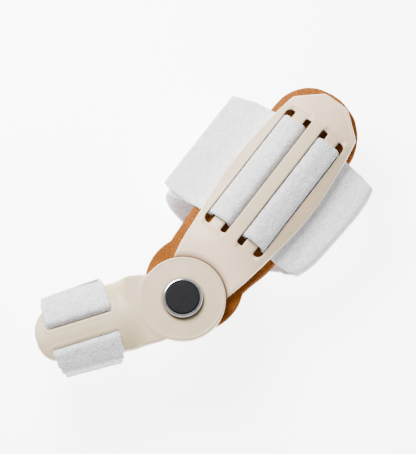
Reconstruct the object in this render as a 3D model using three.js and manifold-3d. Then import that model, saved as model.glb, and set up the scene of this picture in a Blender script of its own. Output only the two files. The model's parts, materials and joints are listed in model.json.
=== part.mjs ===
// A hinged bunion corrector, in millimetres, lying on its strap loops with the outer face up.
// The foot plate points along +X from the hinge, +Y is its left side, and the surface it lies on is z = 0.
import * as THREE from "three";
import { mergeVertices } from "three/addons/utils/BufferGeometryUtils.js";
import Module from "manifold-3d";

const wasm = await Module();
wasm.setup();

// Clearances and walls
const gap = 0.3; // between two pieces that touch
const plateWall = 2.4; // moulded plates
const strapWall = 1.8; // brushed hook-and-loop strap
const padWall = 4; // foam pad
const slotPlay = 0.5; // free space in a slot on each side of the strap

// Foot plate
const footLength = 111.2; // from the hinge axis to the far tip
const footHalfWidth = 20.8; // at its widest
const footArch = 45; // radius of its outer face across the foot
const crownHeight = 41.5; // its outer face above the surface
const footSlotCentre = 65.5; // from the hinge axis to the middle of the slots
const footSlotEnd = 4; // slot past the strap at each end
const outerSlotRoom = 0.8; // the outer slots are this much wider than the inner ones
const centreRib = 6; // width of the rib between the inner slots
const footBar = 5.8; // width of each bar that carries the strap
const barRecess = 1; // the bars lie this far below the outer face
const pocketEnd = 3; // the recess past the slots at each end
const farFall = 0.8; // how far the far tip lies below the crown

// Foot pad
const padHalfWidth = 21.5;
const padShift = 1.2; // the pad sits this far to the left of the plate
const padFarEdge = 114; // from the hinge axis
const padHeadRadius = 21.2; // round head under the hinge
const padHeadCentre = 9.6;

// Foot strap
const footStrapWidth = 55;
const endReach = 17.5; // how far the cut end lies beyond the pad
const foldReach = 13.3; // how far the folded side lies beyond the pad
const strapPuff = 0.9; // how far the strap stands up over a bar
const looseBend = 20; // radius of the gentlest bend beside the pad

// Toe plate
const toeLength = 64.3; // from the hinge axis to the tip
const toeHalfWidth = 15.6;
const toeArch = 26; // radius of its outer face across the toe
const toeBarShift = 0.2; // its middle bar lies this far to the left of the hinge
const toeBar = 8.6; // width of the middle bar
const toeSlotCentre = 44.25;
const toeSlotEnd = 0.5; // slot past the strap at each end
const toeAngle = 144.5; // direction of the toe plate from the foot plate, in degrees

// Toe strap
const toeStrapWidth = 28.5;
const toeLoopLeft = 15.6; // reach of the loop on each side of the middle bar
const toeLoopRight = 20.9;
const toeTaper = 0.92; // the loop at its far edge, as a share of its near edge

// Hinge
const footDiscRadius = 17.5;
const footDiscWall = 2.2;
const toeDiscRadius = 18.2;
const toeDiscWall = 3;
const shoulderPlay = 0.7; // round the toe disc
const shoulderSlope = 2.4; // width of the slope from the groove up to the neck
const pinRadius = 3.2;
const pinHeadRadius = 5;
const pinHeadWall = 0.9;

// Knob
const knobRadius = 8.6;
const knobBevel = 1.1; // how far the bezel leans in at its top
const knobHeight = 2.3;
const bezelFloor = 0.7;
const capRadius = 7;
const capProud = 0.2; // the cap stands this far above the bezel

// Heights that follow
const footDepth = plateWall + gap + strapWall + gap; // from the outer face to the top of the pad
const strapDepth = plateWall + gap + strapWall / 2; // to the middle of the strap under a rib
const footDiscBottom = crownHeight - footDepth + gap;
const footDiscTop = footDiscBottom + footDiscWall;
const toeDiscBottom = footDiscTop + gap;
const toeDiscTop = toeDiscBottom + toeDiscWall;
const knobBottom = toeDiscTop + gap;
const slotWidth = strapWall + 2 * slotPlay;

// Places across the foot plate
const innerSlot = centreRib / 2;
const barInner = innerSlot + slotWidth;
const outerSlot = barInner + footBar;
const outerSlotWidth = slotWidth + outerSlotRoom;
const outerRib = outerSlot + outerSlotWidth;
const padLeft = padHalfWidth + padShift;
const padRight = padHalfWidth - padShift;

// Ends of the slots along each plate
const footSlotStart = footSlotCentre - footStrapWidth / 2 - footSlotEnd;
const footSlotStop = footSlotCentre + footStrapWidth / 2 + footSlotEnd;
const toeSlotStart = toeSlotCentre - toeStrapWidth / 2 - toeSlotEnd;
const toeSlotStop = toeSlotCentre + toeStrapWidth / 2 + toeSlotEnd;

const roundSides = 48;

// Colours of the moulded plastic, the foam, the strap and the knob
const cream = new THREE.MeshStandardMaterial({ color: 0xe9e1d4, roughness: 0.42, metalness: 0 });
const foam = new THREE.MeshStandardMaterial({ color: 0xc17b42, roughness: 0.95, metalness: 0 });
const cloth = new THREE.MeshStandardMaterial({ color: 0xe9e9eb, roughness: 0.95, metalness: 0 });
const chrome = new THREE.MeshStandardMaterial({ color: 0xc9cacd, roughness: 0.14, metalness: 1 });
const charcoal = new THREE.MeshStandardMaterial({ color: 0x303032, roughness: 0.6, metalness: 0 });
const steel = new THREE.MeshStandardMaterial({ color: 0x9a9b9e, roughness: 0.35, metalness: 1 });

// A geometry as a closed solid, with its equal corners joined.
function toSolid(geometry) {
  const bare = geometry.index ? geometry.toNonIndexed() : geometry.clone();
  bare.deleteAttribute("normal");
  bare.deleteAttribute("uv");
  const merged = mergeVertices(bare, 1e-4);
  return new wasm.Manifold(
    new wasm.Mesh({
      numProp: 3,
      vertProperties: merged.attributes.position.array,
      triVerts: new Uint32Array(merged.index.array),
    }),
  );
}

// A solid as a geometry with flat faces.
function toGeometry(solid) {
  const mesh = solid.getMesh();
  const geometry = new THREE.BufferGeometry();
  geometry.setAttribute("position", new THREE.BufferAttribute(mesh.vertProperties, 3));
  geometry.setIndex(new THREE.BufferAttribute(mesh.triVerts, 1));
  geometry.computeVertexNormals();
  return geometry;
}

// A named mesh of a solid.
function toMesh(name, solid, material) {
  const mesh = new THREE.Mesh(toGeometry(solid), material);
  mesh.name = name;
  return mesh;
}

// A geometry from corners and triangles.
function fromTriangles(positions, triangles) {
  const geometry = new THREE.BufferGeometry();
  geometry.setAttribute("position", new THREE.Float32BufferAttribute(positions, 3));
  geometry.setIndex(triangles);
  return geometry;
}

// The corners round the edge of a grid of stations and columns, anticlockwise seen from above.
function rimOf(stationCount, columns) {
  const row = columns + 1;
  const rim = [];
  for (let i = 0; i < stationCount - 1; i += 1) rim.push(i * row);
  for (let j = 0; j < columns; j += 1) rim.push((stationCount - 1) * row + j);
  for (let i = stationCount - 1; i > 0; i -= 1) rim.push(i * row + columns);
  for (let j = columns; j > 0; j -= 1) rim.push(j);
  return rim;
}

// A solid between an upper and a lower surface, over stations { x, left, right } along X.
function slab(stations, columns, upper, lower) {
  const row = columns + 1;
  const layer = stations.length * row;
  const positions = [];
  for (const surface of [upper, lower]) {
    for (const { x, left, right } of stations) {
      for (let j = 0; j <= columns; j += 1) {
        const y = THREE.MathUtils.lerp(-right, left, j / columns);
        positions.push(x, y, surface(x, y));
      }
    }
  }
  const triangles = [];
  for (let i = 0; i < stations.length - 1; i += 1) {
    for (let j = 0; j < columns; j += 1) {
      const a = i * row + j;
      const b = a + row;
      triangles.push(a, b, b + 1, a, b + 1, a + 1);
      triangles.push(layer + a, layer + b + 1, layer + b, layer + a, layer + a + 1, layer + b + 1);
    }
  }
  const rim = rimOf(stations.length, columns);
  rim.forEach((a, k) => {
    const b = rim[(k + 1) % rim.length];
    triangles.push(layer + a, layer + b, b, layer + a, b, a);
  });
  return toSolid(fromTriangles(positions, triangles));
}

// An upright prism over an outline.
function prism(shape, bottom, top) {
  const geometry = new THREE.ExtrudeGeometry(shape, {
    depth: top - bottom,
    bevelEnabled: false,
    curveSegments: 3,
  });
  geometry.translate(0, 0, bottom);
  return toSolid(geometry);
}

// A body turned about the hinge axis, from a profile of [radius, height] pairs.
function turned(profile) {
  const points = profile.map(([radius, height]) => new THREE.Vector2(radius, height));
  const geometry = new THREE.LatheGeometry(points, roundSides);
  geometry.rotateX(Math.PI / 2);
  return toSolid(geometry);
}

// A plain round disc about the hinge axis.
function disc(radius, bottom, top) {
  return turned([
    [0, bottom],
    [radius, bottom],
    [radius, top],
    [0, top],
  ]);
}

// Height of a face that lies depth below the arched outer face, at y from the middle of the arch.
function archHeight(y, depth, radius, crown) {
  const inner = radius - depth;
  return crown - radius + Math.sqrt(Math.max(inner * inner - y * y, 0));
}

// The same for the foot plate and for the toe plate, whose arches are fully round where the straps run.
const footArchHeight = (y, depth) => archHeight(y, depth, footArch, crownHeight);
const toeArchHeight = (y, depth) => archHeight(y, depth, toeArch, toeDiscTop);

// Stations on a smooth line through the rows of a table, for a plate of a given length and half width.
function smoothStations(rows, steps, length, halfWidth) {
  const points = rows.map(
    (row) => new THREE.Vector3(row.along * length, row.left * halfWidth, row.right * halfWidth),
  );
  const curve = new THREE.CatmullRomCurve3(points, false, "centripetal");
  return curve.getPoints(steps).map((point) => ({ x: point.x, left: point.y, right: point.z }));
}

// The stations of a table without smoothing.
function straightStations(rows, length, halfWidth) {
  return rows.map((row) => ({
    x: row.along * length,
    left: row.left * halfWidth,
    right: row.right * halfWidth,
  }));
}

// A slot along X with its own corner radius on its low and on its high side.
function slotShape(start, end, low, high, lowCorner, highCorner) {
  const shape = new THREE.Shape();
  shape.moveTo(start + lowCorner, low);
  shape.lineTo(end - lowCorner, low);
  shape.absarc(end - lowCorner, low + lowCorner, lowCorner, -Math.PI / 2, 0, false);
  shape.absarc(end - highCorner, high - highCorner, highCorner, 0, Math.PI / 2, false);
  shape.absarc(start + highCorner, high - highCorner, highCorner, Math.PI / 2, Math.PI, false);
  shape.absarc(start + lowCorner, low + lowCorner, lowCorner, Math.PI, 1.5 * Math.PI, false);
  return shape;
}

// The same solid on the other side of the XZ plane.
function mirrored(solid) {
  return solid.mirror([0, 1, 0]);
}

// How round the foot plate's arch is at x: flat at the hinge, fully arched where the slots start.
function footRoundness(x) {
  return THREE.MathUtils.smoothstep(x, toeDiscRadius, footSlotStart);
}

// Height of a face of the foot plate or pad at depth below the outer face.
function footFace(x, y, depth) {
  const flat = crownHeight - depth;
  return THREE.MathUtils.lerp(flat, footArchHeight(y, depth), footRoundness(x));
}

// How far the outer face falls towards the far tip.
function farDrop(x) {
  return farFall * THREE.MathUtils.smoothstep(x, footSlotStop, footLength);
}

// The foot plate's outline, as shares of its length and half width.
const footOutline = [
  { along: 0.11, left: 0.687, right: 0.687 },
  { along: 0.183, left: 0.769, right: 0.769 },
  { along: 0.274, left: 0.841, right: 0.841 },
  { along: 0.321, left: 0.875, right: 0.875 },
  { along: 0.545, left: 1, right: 1 },
  { along: 0.7, left: 0.975, right: 0.975 },
  { along: 0.823, left: 0.909, right: 0.909 },
];

// The straight edges of its far end.
const footTip = [
  { along: 0.873, left: 0.862, right: 0.862 },
  { along: 0.922, left: 0.808, right: 0.808 },
  { along: 0.96, left: 0.555, right: 0.555 },
  { along: 0.998, left: 0.3, right: 0.3 },
  { along: 1, left: 0.25, right: 0.25 },
];

// Depth of the plate's underside: it reaches down to the pad at the hinge and at the far end.
function footUnderside(x, y) {
  const nearHinge = 1 - THREE.MathUtils.smoothstep(x, toeDiscRadius + shoulderSlope, footSlotStart);
  const nearTip = THREE.MathUtils.smoothstep(x, footSlotStop, footSlotStop + pocketEnd);
  const full = footDepth - gap;
  const depth = THREE.MathUtils.lerp(plateWall, full, Math.max(nearHinge, nearTip));
  return footFace(x, y, depth);
}

// One recess that holds a bar and its two slots.
function barPocket() {
  const start = footSlotStart - pocketEnd;
  const end = footSlotStop + pocketEnd;
  const stations = [
    { x: start, left: outerRib - pocketEnd, right: -innerSlot - pocketEnd / 2 },
    { x: start + pocketEnd, left: outerRib, right: -innerSlot },
    { x: end - pocketEnd, left: outerRib, right: -innerSlot },
    { x: end, left: outerRib - pocketEnd, right: -innerSlot - pocketEnd / 2 },
  ];
  const over = () => crownHeight + plateWall;
  return slab(stations, 6, over, (x, y) => footFace(x, y, barRecess) - farDrop(x));
}

// The inner and the outer slot beside one bar.
function barSlots() {
  const top = crownHeight + plateWall;
  const small = slotWidth * 0.25;
  const inner = slotShape(footSlotStart, footSlotStop, innerSlot, barInner, small, small);
  const outer = slotShape(footSlotStart, footSlotStop, outerSlot, outerRib, small, outerSlotWidth * 0.72);
  return prism(inner, 0, top).add(prism(outer, 0, top));
}

// The round seat of the toe disc in the neck, with a groove and a slope up to the shoulder.
function discSeat() {
  const seat = toeDiscRadius + shoulderPlay;
  const lip = toeDiscBottom + toeDiscWall / 3;
  const above = crownHeight + plateWall;
  return turned([
    [0, footDiscTop],
    [seat, footDiscTop],
    [seat, lip],
    [seat + shoulderSlope, crownHeight],
    [seat + shoulderSlope, above],
    [0, above],
  ]);
}

// The hole for the pivot pin, with a recess for its head under the foot disc.
function pinHole() {
  const headTop = footDiscBottom + pinHeadWall + gap;
  return turned([
    [0, 0],
    [pinHeadRadius + gap, 0],
    [pinHeadRadius + gap, headTop],
    [pinRadius + gap, headTop],
    [pinRadius + gap, knobBottom],
    [0, knobBottom],
  ]);
}

function makeFootPlate() {
  const sides = smoothStations(footOutline, 22, footLength, footHalfWidth);
  const tip = straightStations(footTip, footLength, footHalfWidth);
  const outerFace = (x, y) => footFace(x, y, 0) - farDrop(x);
  const shell = slab([...sides, ...tip], 12, outerFace, footUnderside);
  const hingeDisc = disc(footDiscRadius, footDiscBottom, footDiscTop);
  const slots = barSlots();
  const pocket = barPocket();
  return shell
    .subtract(discSeat())
    .add(hingeDisc)
    .subtract(pinHole())
    .subtract(pocket)
    .subtract(mirrored(pocket))
    .subtract(slots)
    .subtract(mirrored(slots));
}

// The pad's body beyond its round head, as shares of its far edge and half width.
const padOutline = [
  { along: 0.215, left: 0.94, right: 0.94 },
  { along: 0.286, left: 1, right: 1 },
  { along: 0.5, left: 1, right: 1 },
  { along: 0.72, left: 1, right: 1 },
  { along: 0.823, left: 1, right: 0.987 },
  { along: 0.868, left: 0.988, right: 0.95 },
  { along: 0.909, left: 0.935, right: 0.86 },
  { along: 0.953, left: 0.77, right: 0.67 },
  { along: 0.98, left: 0.575, right: 0.46 },
  { along: 0.994, left: 0.36, right: 0.23 },
  { along: 1, left: 0.13, right: 0.08 },
];

// The stations of the pad's round head, up to where the waist starts.
function padHead() {
  const steps = 10;
  const stations = [];
  for (let k = 0; k <= steps; k += 1) {
    const angle = THREE.MathUtils.degToRad(THREE.MathUtils.lerp(176, 66, k / steps));
    const half = padHeadRadius * Math.sin(angle);
    stations.push({ x: padHeadCentre + padHeadRadius * Math.cos(angle), left: half, right: half });
  }
  return stations;
}

function makeFootPad() {
  const body = smoothStations(padOutline, 20, padFarEdge, padHalfWidth);
  const stations = [...padHead(), ...body].map(({ x, left, right }) => ({
    x,
    left: left + padShift,
    right: right - padShift,
  }));
  const top = (x, y) => footFace(x, y, footDepth);
  const bottom = (x, y) => footFace(x, y, footDepth + padWall);
  return slab(stations, 12, top, bottom);
}

// The points and left-hand normals of a line in the YZ plane, whose corners { x, y, z, bend } are rounded.
function roundedLine(corners, steps) {
  const line = [];
  corners.forEach((corner, k) => {
    const before = corners[k - 1];
    const after = corners[k + 1];
    const into = before ? headingOf(before, corner) : headingOf(corner, after);
    const onward = after ? headingOf(corner, after) : into;
    const turn = Math.atan2(Math.sin(onward - into), Math.cos(onward - into));
    const side = Math.sign(turn);
    const reach = corner.bend * Math.tan(Math.abs(turn) / 2);
    const startY = corner.y - reach * Math.cos(into);
    const startZ = corner.z - reach * Math.sin(into);
    const centreY = startY - side * corner.bend * Math.sin(into);
    const centreZ = startZ + side * corner.bend * Math.cos(into);
    const count = before && after ? steps : 0;
    for (let s = 0; s <= count; s += 1) {
      const heading = into + (turn * s) / steps;
      line.push({
        x: corner.x,
        y: centreY + side * corner.bend * Math.sin(heading),
        z: centreZ - side * corner.bend * Math.cos(heading),
        normalY: -Math.sin(heading),
        normalZ: Math.cos(heading),
      });
    }
  });
  return line;
}

// The direction from one corner to the next in the YZ plane.
function headingOf(from, to) {
  return Math.atan2(to.z - from.z, to.y - from.y);
}

// A strap between two edge lines. The middle of its width may bow out along Y by the corner's bow.
function ribbon(nearLine, farLine, bows, shares, wall) {
  const ring = 2 * shares.length;
  const positions = [];
  nearLine.forEach((near, i) => {
    const far = farLine[i];
    const across = shares.map((share) => {
      const full = 1 - Math.pow(Math.abs(2 * share - 1), 4);
      const y = THREE.MathUtils.lerp(near.y, far.y, share) + bows[i] * full;
      const normal = new THREE.Vector2(
        THREE.MathUtils.lerp(near.normalY, far.normalY, share),
        THREE.MathUtils.lerp(near.normalZ, far.normalZ, share),
      ).normalize();
      return {
        x: THREE.MathUtils.lerp(near.x, far.x, share),
        y,
        z: THREE.MathUtils.lerp(near.z, far.z, share),
        normal,
      };
    });
    for (const point of across) {
      positions.push(point.x, point.y + (point.normal.x * wall) / 2, point.z + (point.normal.y * wall) / 2);
    }
    for (const point of across.reverse()) {
      positions.push(point.x, point.y - (point.normal.x * wall) / 2, point.z - (point.normal.y * wall) / 2);
    }
  });
  const triangles = [];
  for (let i = 0; i < nearLine.length - 1; i += 1) {
    for (let j = 0; j < ring; j += 1) {
      const a = i * ring + j;
      const b = i * ring + ((j + 1) % ring);
      triangles.push(a, b, b + ring, a, b + ring, a + ring);
    }
  }
  const last = (nearLine.length - 1) * ring;
  for (let j = 0; j < shares.length - 1; j += 1) {
    const back = ring - 1 - j;
    triangles.push(j, back, back - 1, j, back - 1, j + 1);
    triangles.push(last + j, last + back - 1, last + back, last + j, last + j + 1, last + back - 1);
  }
  return toSolid(fromTriangles(positions, triangles));
}

// The strap from its cut end, on the left, to the edge of the pad. Out is a share of the reach beyond
// the pad, up a share of the height at the pad's edge, near and far the edges as shares of the strap's width
// and bend a share of the gentlest bend.
const cutEndRows = [
  { out: 1, up: 0.929, near: -0.483, far: 0.428, bend: 0 },
  { out: 0.72, up: 0.935, near: -0.505, far: 0.46, bend: 1 },
  { out: 0.3, up: 0.955, near: -0.5, far: 0.497, bend: 0.7 },
];

// The fold on the right and the run back under the plate to the surface. Spread is how much further
// out the far edge lies than the near edge, and bow how much further out the middle lies.
const foldRows = [
  { out: 0.45, up: 0.947, near: -0.49, far: 0.497, bend: 0.7, spread: 0, bow: 0 },
  { out: 0.775, up: 0.926, near: -0.465, far: 0.475, bend: 0.085, spread: 0.25, bow: 0.2 },
  { out: 0.775, up: 0.81, near: -0.465, far: 0.46, bend: 0.085, spread: 0.25, bow: 0.2 },
  { out: 0.36, up: 0.765, near: -0.5, far: 0.47, bend: 0.25, spread: 0.1, bow: 0 },
  { out: -0.14, up: 0.58, near: -0.53, far: 0.46, bend: 0.35, spread: 0, bow: 0 },
  { out: -0.4, up: 0.27, near: -0.55, far: 0.45, bend: 0.45, spread: 0, bow: 0 },
];

// The left side of the loop, from the surface up to the stretch that lies under the cut end. Layer 1 lies
// one strap below the cut end's run.
const riseRows = [
  { out: 0.45, up: 0.155, near: -0.557, far: 0.443, bend: 0.4, layer: 0 },
  { out: 0.68, up: 0.35, near: -0.557, far: 0.443, bend: 0.6, layer: 0 },
  { out: 0.775, up: 0.67, near: -0.55, far: 0.445, bend: 0.5, layer: 0 },
  { out: 0.76, up: 0.934, near: -0.53, far: 0.45, bend: 0.12, layer: 1 },
  { out: 0.3, up: 0.955, near: -0.5, far: 0.46, bend: 0.7, layer: 1 },
  { out: 0.12, up: 0.983, near: -0.49, far: 0.46, bend: 0, layer: 1 },
];

// Where the run on the surface starts and ends, as shares of the same reaches.
const floorLeft = { out: 0.2, near: -0.557, far: 0.443, bend: 0.35 };
const floorRight = { out: -0.62, near: -0.557, far: 0.443, bend: 0.3 };

// How the strap passes over one bar, as corners { y, lift } from the slot on one side to the other.
function overBar() {
  const middle = (barInner + outerSlot) / 2;
  return [
    { y: outerSlot + outerSlotWidth / 2, lift: strapPuff * 0.6, bend: strapWall * 0.9 },
    { y: middle, lift: strapPuff, bend: footBar },
    { y: innerSlot + slotWidth / 2, lift: strapPuff * 0.4, bend: strapWall * 0.9 },
  ];
}

// The corners of one edge of the foot strap, edge being "near" or "far".
function footStrapCorners(edge) {
  const isFar = edge === "far";
  const xOf = (share) => footSlotCentre + share * footStrapWidth;
  const straight = isFar ? 0.5 : -0.5;
  const edgeLeft = padLeft + gap;
  const edgeRight = padRight + gap;
  const under = (y, bend) => ({
    x: xOf(straight),
    y,
    z: footArchHeight(y, strapDepth),
    bend,
    bow: 0,
  });
  const over = (sign) => ({ y, lift, bend }) => ({
    x: xOf(straight),
    y: sign * y,
    z: footArchHeight(y, barRecess - gap - strapWall / 2) + lift,
    bend,
    bow: 0,
  });
  const leftHeight = footArchHeight(edgeLeft, strapDepth);
  const rightHeight = footArchHeight(edgeRight, strapDepth);
  const onLeft = (row) => ({
    x: xOf(row[edge]),
    y: padLeft + row.out * endReach,
    z: row.up * leftHeight - (row.layer ?? 0) * (strapWall + gap),
    bend: row.bend * looseBend,
    bow: 0,
  });
  const onRight = (row) => ({
    x: xOf(row[edge]),
    y: -padRight - (row.out + (isFar ? row.spread : 0)) * foldReach,
    z: row.up * rightHeight,
    bend: row.bend * looseBend,
    bow: -row.bow * foldReach,
  });
  const turnBend = strapWall / 2 + gap / 3;
  const slotOut = outerSlot + outerSlotWidth / 2;
  const slotIn = innerSlot + slotWidth / 2;
  const ribMiddle = (outerRib + edgeRight) / 2;
  const floor = strapWall / 2;
  return [
    ...cutEndRows.map(onLeft),
    under(edgeLeft, footArch / 3),
    under(ribMiddle, footArch / 2),
    under(slotOut, turnBend),
    ...overBar().map(over(1)),
    under(slotIn, turnBend),
    under(0, footArch / 3),
    under(-slotIn, turnBend),
    ...overBar().reverse().map(over(-1)),
    under(-slotOut, turnBend),
    under(-ribMiddle, footArch / 2),
    under(-edgeRight, footArch / 3),
    ...foldRows.map(onRight),
    { ...onRight({ ...floorRight, up: 0, spread: 0, bow: 0 }), z: floor },
    { ...onLeft({ ...floorLeft, up: 0 }), z: floor },
    ...riseRows.map(onLeft),
  ];
}

// The bow of each point of a rounded line, taken from the corner that it belongs to.
function bowsOf(corners, steps) {
  const last = corners.length - 1;
  return corners.flatMap((corner, k) => Array(k > 0 && k < last ? steps + 1 : 1).fill(corner.bow));
}

function makeFootStrap() {
  const steps = 3;
  const near = footStrapCorners("near");
  const far = footStrapCorners("far");
  const shares = [0, 0.1, 0.5, 0.9, 1];
  return ribbon(
    roundedLine(near, steps),
    roundedLine(far, steps),
    bowsOf(near, steps),
    shares,
    strapWall,
  );
}

// How round the toe plate's arch is at x: flat over the foot disc and the pad, fully arched at the slots.
function toeRoundness(x) {
  return THREE.MathUtils.smoothstep(x, toeDiscRadius, toeSlotStart - slotWidth);
}

// Height of a face of the toe plate at depth below its outer face, with the middle bar at the top of its arch.
function toeFace(x, y, depth) {
  const flat = toeDiscTop - depth;
  return THREE.MathUtils.lerp(flat, toeArchHeight(y - toeBarShift, depth), toeRoundness(x));
}

// The toe plate's outline beyond its disc, as shares of its length and half width.
const toeOutline = [
  { along: 0.1, left: 0.92, right: 0.9 },
  { along: 0.15, left: 0.92, right: 0.92 },
  { along: 0.2, left: 0.935, right: 0.98 },
  { along: 0.28, left: 0.93, right: 1.06 },
  { along: 0.42, left: 0.89, right: 1.12 },
  { along: 0.55, left: 0.84, right: 1.11 },
  { along: 0.7, left: 0.76, right: 1.07 },
  { along: 0.84, left: 0.7, right: 0.99 },
  { along: 0.907, left: 0.6, right: 0.86 },
  { along: 0.96, left: 0.45, right: 0.64 },
  { along: 0.99, left: 0.24, right: 0.4 },
  { along: 1, left: 0.08, right: 0.23 },
];

// One slot of the toe plate, on the left of the middle bar as seen from the bar.
function toeSlot() {
  const small = slotWidth * 0.3;
  const shape = slotShape(toeSlotStart, toeSlotStop, toeBar / 2, toeBar / 2 + slotWidth, small, small);
  return prism(shape, 0, toeDiscTop + plateWall);
}

function makeToePlate() {
  const stations = smoothStations(toeOutline, 24, toeLength, toeHalfWidth);
  const neckWall = (x) => THREE.MathUtils.lerp(toeDiscWall, plateWall, toeRoundness(x));
  const outerFace = (x, y) => toeFace(x, y, 0);
  const innerFace = (x, y) => toeFace(x, y, neckWall(x));
  const slot = toeSlot();
  const shell = slab(stations, 12, outerFace, innerFace);
  return shell
    .add(disc(toeDiscRadius, toeDiscBottom, toeDiscTop))
    .subtract(pinHole())
    .subtract(slot.translate([0, toeBarShift, 0]))
    .subtract(mirrored(slot).translate([0, toeBarShift, 0]));
}

// One side of the toe loop from the surface up, as shares of its reach and of the toe plate's height. Inset
// is how far each edge draws in, as a share of the strap's width.
const toeSideRows = [
  { out: 0.45, up: 0, bend: 0.3, inset: 0.05 },
  { out: 0.74, up: 0.3, bend: 0.7, inset: 0.05 },
  { out: 0.9, up: 0.58, bend: 0.8, inset: 0.045 },
  { out: 1, up: 0.79, bend: 0.4, inset: 0.03 },
];
const toeShoulder = 0.98; // where the strap turns over the plate's edge, as a share of the reach
const toeLap = 0.3; // how far each end of the strap lies beyond the middle, as a share of the reach

// The corners of one edge of the toe strap, from its lower end round over the plate to its upper end.
function toeStrapCorners(edge) {
  const isFar = edge === "far";
  const xOf = (inset) => toeSlotCentre + (isFar ? 0.5 - inset : inset - 0.5) * toeStrapWidth;
  const taper = isFar ? toeTaper : 1;
  const floor = strapWall / 2;
  const layer = strapWall + gap;
  const corner = (y, z, bend, inset = 0) => ({
    x: xOf(inset),
    y: y + toeBarShift,
    z,
    bend,
    bow: 0,
  });
  const over = -(gap + strapWall / 2);
  const onArch = (y, depth, bend) => corner(y, toeArchHeight(y, depth), bend);
  const side = (sign, reach, base) =>
    toeSideRows.map(({ out, up, bend, inset }) => {
      const z = Math.max(up * toeDiscTop, base);
      return corner(sign * out * reach * taper, z, bend * looseBend, inset);
    });
  const slotMiddle = toeBar / 2 + slotWidth / 2;
  const turnBend = strapWall / 2 + gap / 3;
  const roundBend = strapWall * 0.8;
  const underBar = toeArchHeight(slotMiddle, plateWall + gap + strapWall / 2);
  const overSlot = toeArchHeight(slotMiddle, over) + gap;
  const half = (sign, reach) => {
    const shoulder = reach * toeShoulder * taper;
    return [
      onArch(sign * shoulder, over, strapWall * 1.3),
      onArch(sign * THREE.MathUtils.lerp(slotMiddle, shoulder, 0.7), over, toeArch / 2),
      onArch(sign * THREE.MathUtils.lerp(slotMiddle, shoulder, 0.35), over, toeArch / 2),
      corner(sign * slotMiddle, overSlot, roundBend),
      corner(sign * slotMiddle, underBar, turnBend),
    ];
  };
  return [
    corner(-toeLap * toeLoopRight * taper, floor, 0, toeSideRows[0].inset),
    ...side(1, toeLoopLeft, floor),
    ...half(1, toeLoopLeft),
    ...half(-1, toeLoopRight).reverse(),
    ...side(-1, toeLoopRight, floor + layer).reverse(),
    corner(toeLap * toeLoopLeft * taper, floor + layer, 0, toeSideRows[0].inset),
  ];
}

function makeToeStrap() {
  const steps = 3;
  const near = toeStrapCorners("near");
  const far = toeStrapCorners("far");
  const shares = [0, 0.5, 1];
  return ribbon(
    roundedLine(near, steps),
    roundedLine(far, steps),
    bowsOf(near, steps),
    shares,
    strapWall,
  );
}

function makePivotPin() {
  const headTop = footDiscBottom + pinHeadWall;
  const top = knobBottom + bezelFloor;
  return turned([
    [0, footDiscBottom],
    [pinHeadRadius, footDiscBottom],
    [pinHeadRadius, headTop],
    [pinRadius, headTop],
    [pinRadius, top],
    [0, top],
  ]);
}

function makeKnobBezel() {
  const top = knobBottom + knobHeight - capProud;
  const floorTop = knobBottom + bezelFloor;
  const hole = pinRadius + gap;
  const inner = capRadius + gap;
  return turned([
    [hole, knobBottom],
    [knobRadius, knobBottom],
    [knobRadius, knobBottom + knobHeight / 4],
    [knobRadius - knobBevel, top],
    [inner, top],
    [inner, floorTop],
    [hole, floorTop],
    [hole, knobBottom],
  ]);
}

function makeKnobCap() {
  const bottom = knobBottom + bezelFloor + gap;
  const top = knobBottom + knobHeight;
  const chamfer = capProud;
  return turned([
    [0, bottom],
    [capRadius, bottom],
    [capRadius, top - chamfer],
    [capRadius - chamfer, top],
    [0, top],
  ]);
}

// The foot splint stays as built and the toe splint turns about the hinge axis.
const footSplint = new THREE.Group();
footSplint.add(
  toMesh("foot_plate", makeFootPlate(), cream),
  toMesh("foot_pad", makeFootPad(), foam),
  toMesh("foot_strap", makeFootStrap(), cloth),
  toMesh("pivot_pin", makePivotPin(), steel),
  toMesh("knob_bezel", makeKnobBezel(), chrome),
  toMesh("knob_cap", makeKnobCap(), charcoal),
);

const toeSplint = new THREE.Group();
toeSplint.rotation.z = THREE.MathUtils.degToRad(toeAngle);
toeSplint.add(
  toMesh("toe_plate", makeToePlate(), cream),
  toMesh("toe_strap", makeToeStrap(), cloth),
);

// The origin is on the surface below the middle of the whole object's box.
const placed = new THREE.Group();
placed.add(footSplint, toeSplint);
const box = new THREE.Box3().setFromObject(placed, true);
placed.position.set(-(box.min.x + box.max.x) / 2, -(box.min.y + box.max.y) / 2, -box.min.z);

const bunionCorrector = new THREE.Group();
bunionCorrector.add(placed);

export default bunionCorrector;
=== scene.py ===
"""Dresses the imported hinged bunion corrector.

The moulded plates, the foam pad, the straps and the knob get their fine shapes and finishes here.
Each piece is worked out in millimetres in its own splint's frame, whose X axis runs from the hinge
along the plate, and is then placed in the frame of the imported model, in metres.
"""

from __future__ import annotations

import json
import logging
import math
from dataclasses import dataclass, field
from enum import Enum
from typing import Any, Callable, Mapping, Sequence

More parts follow.
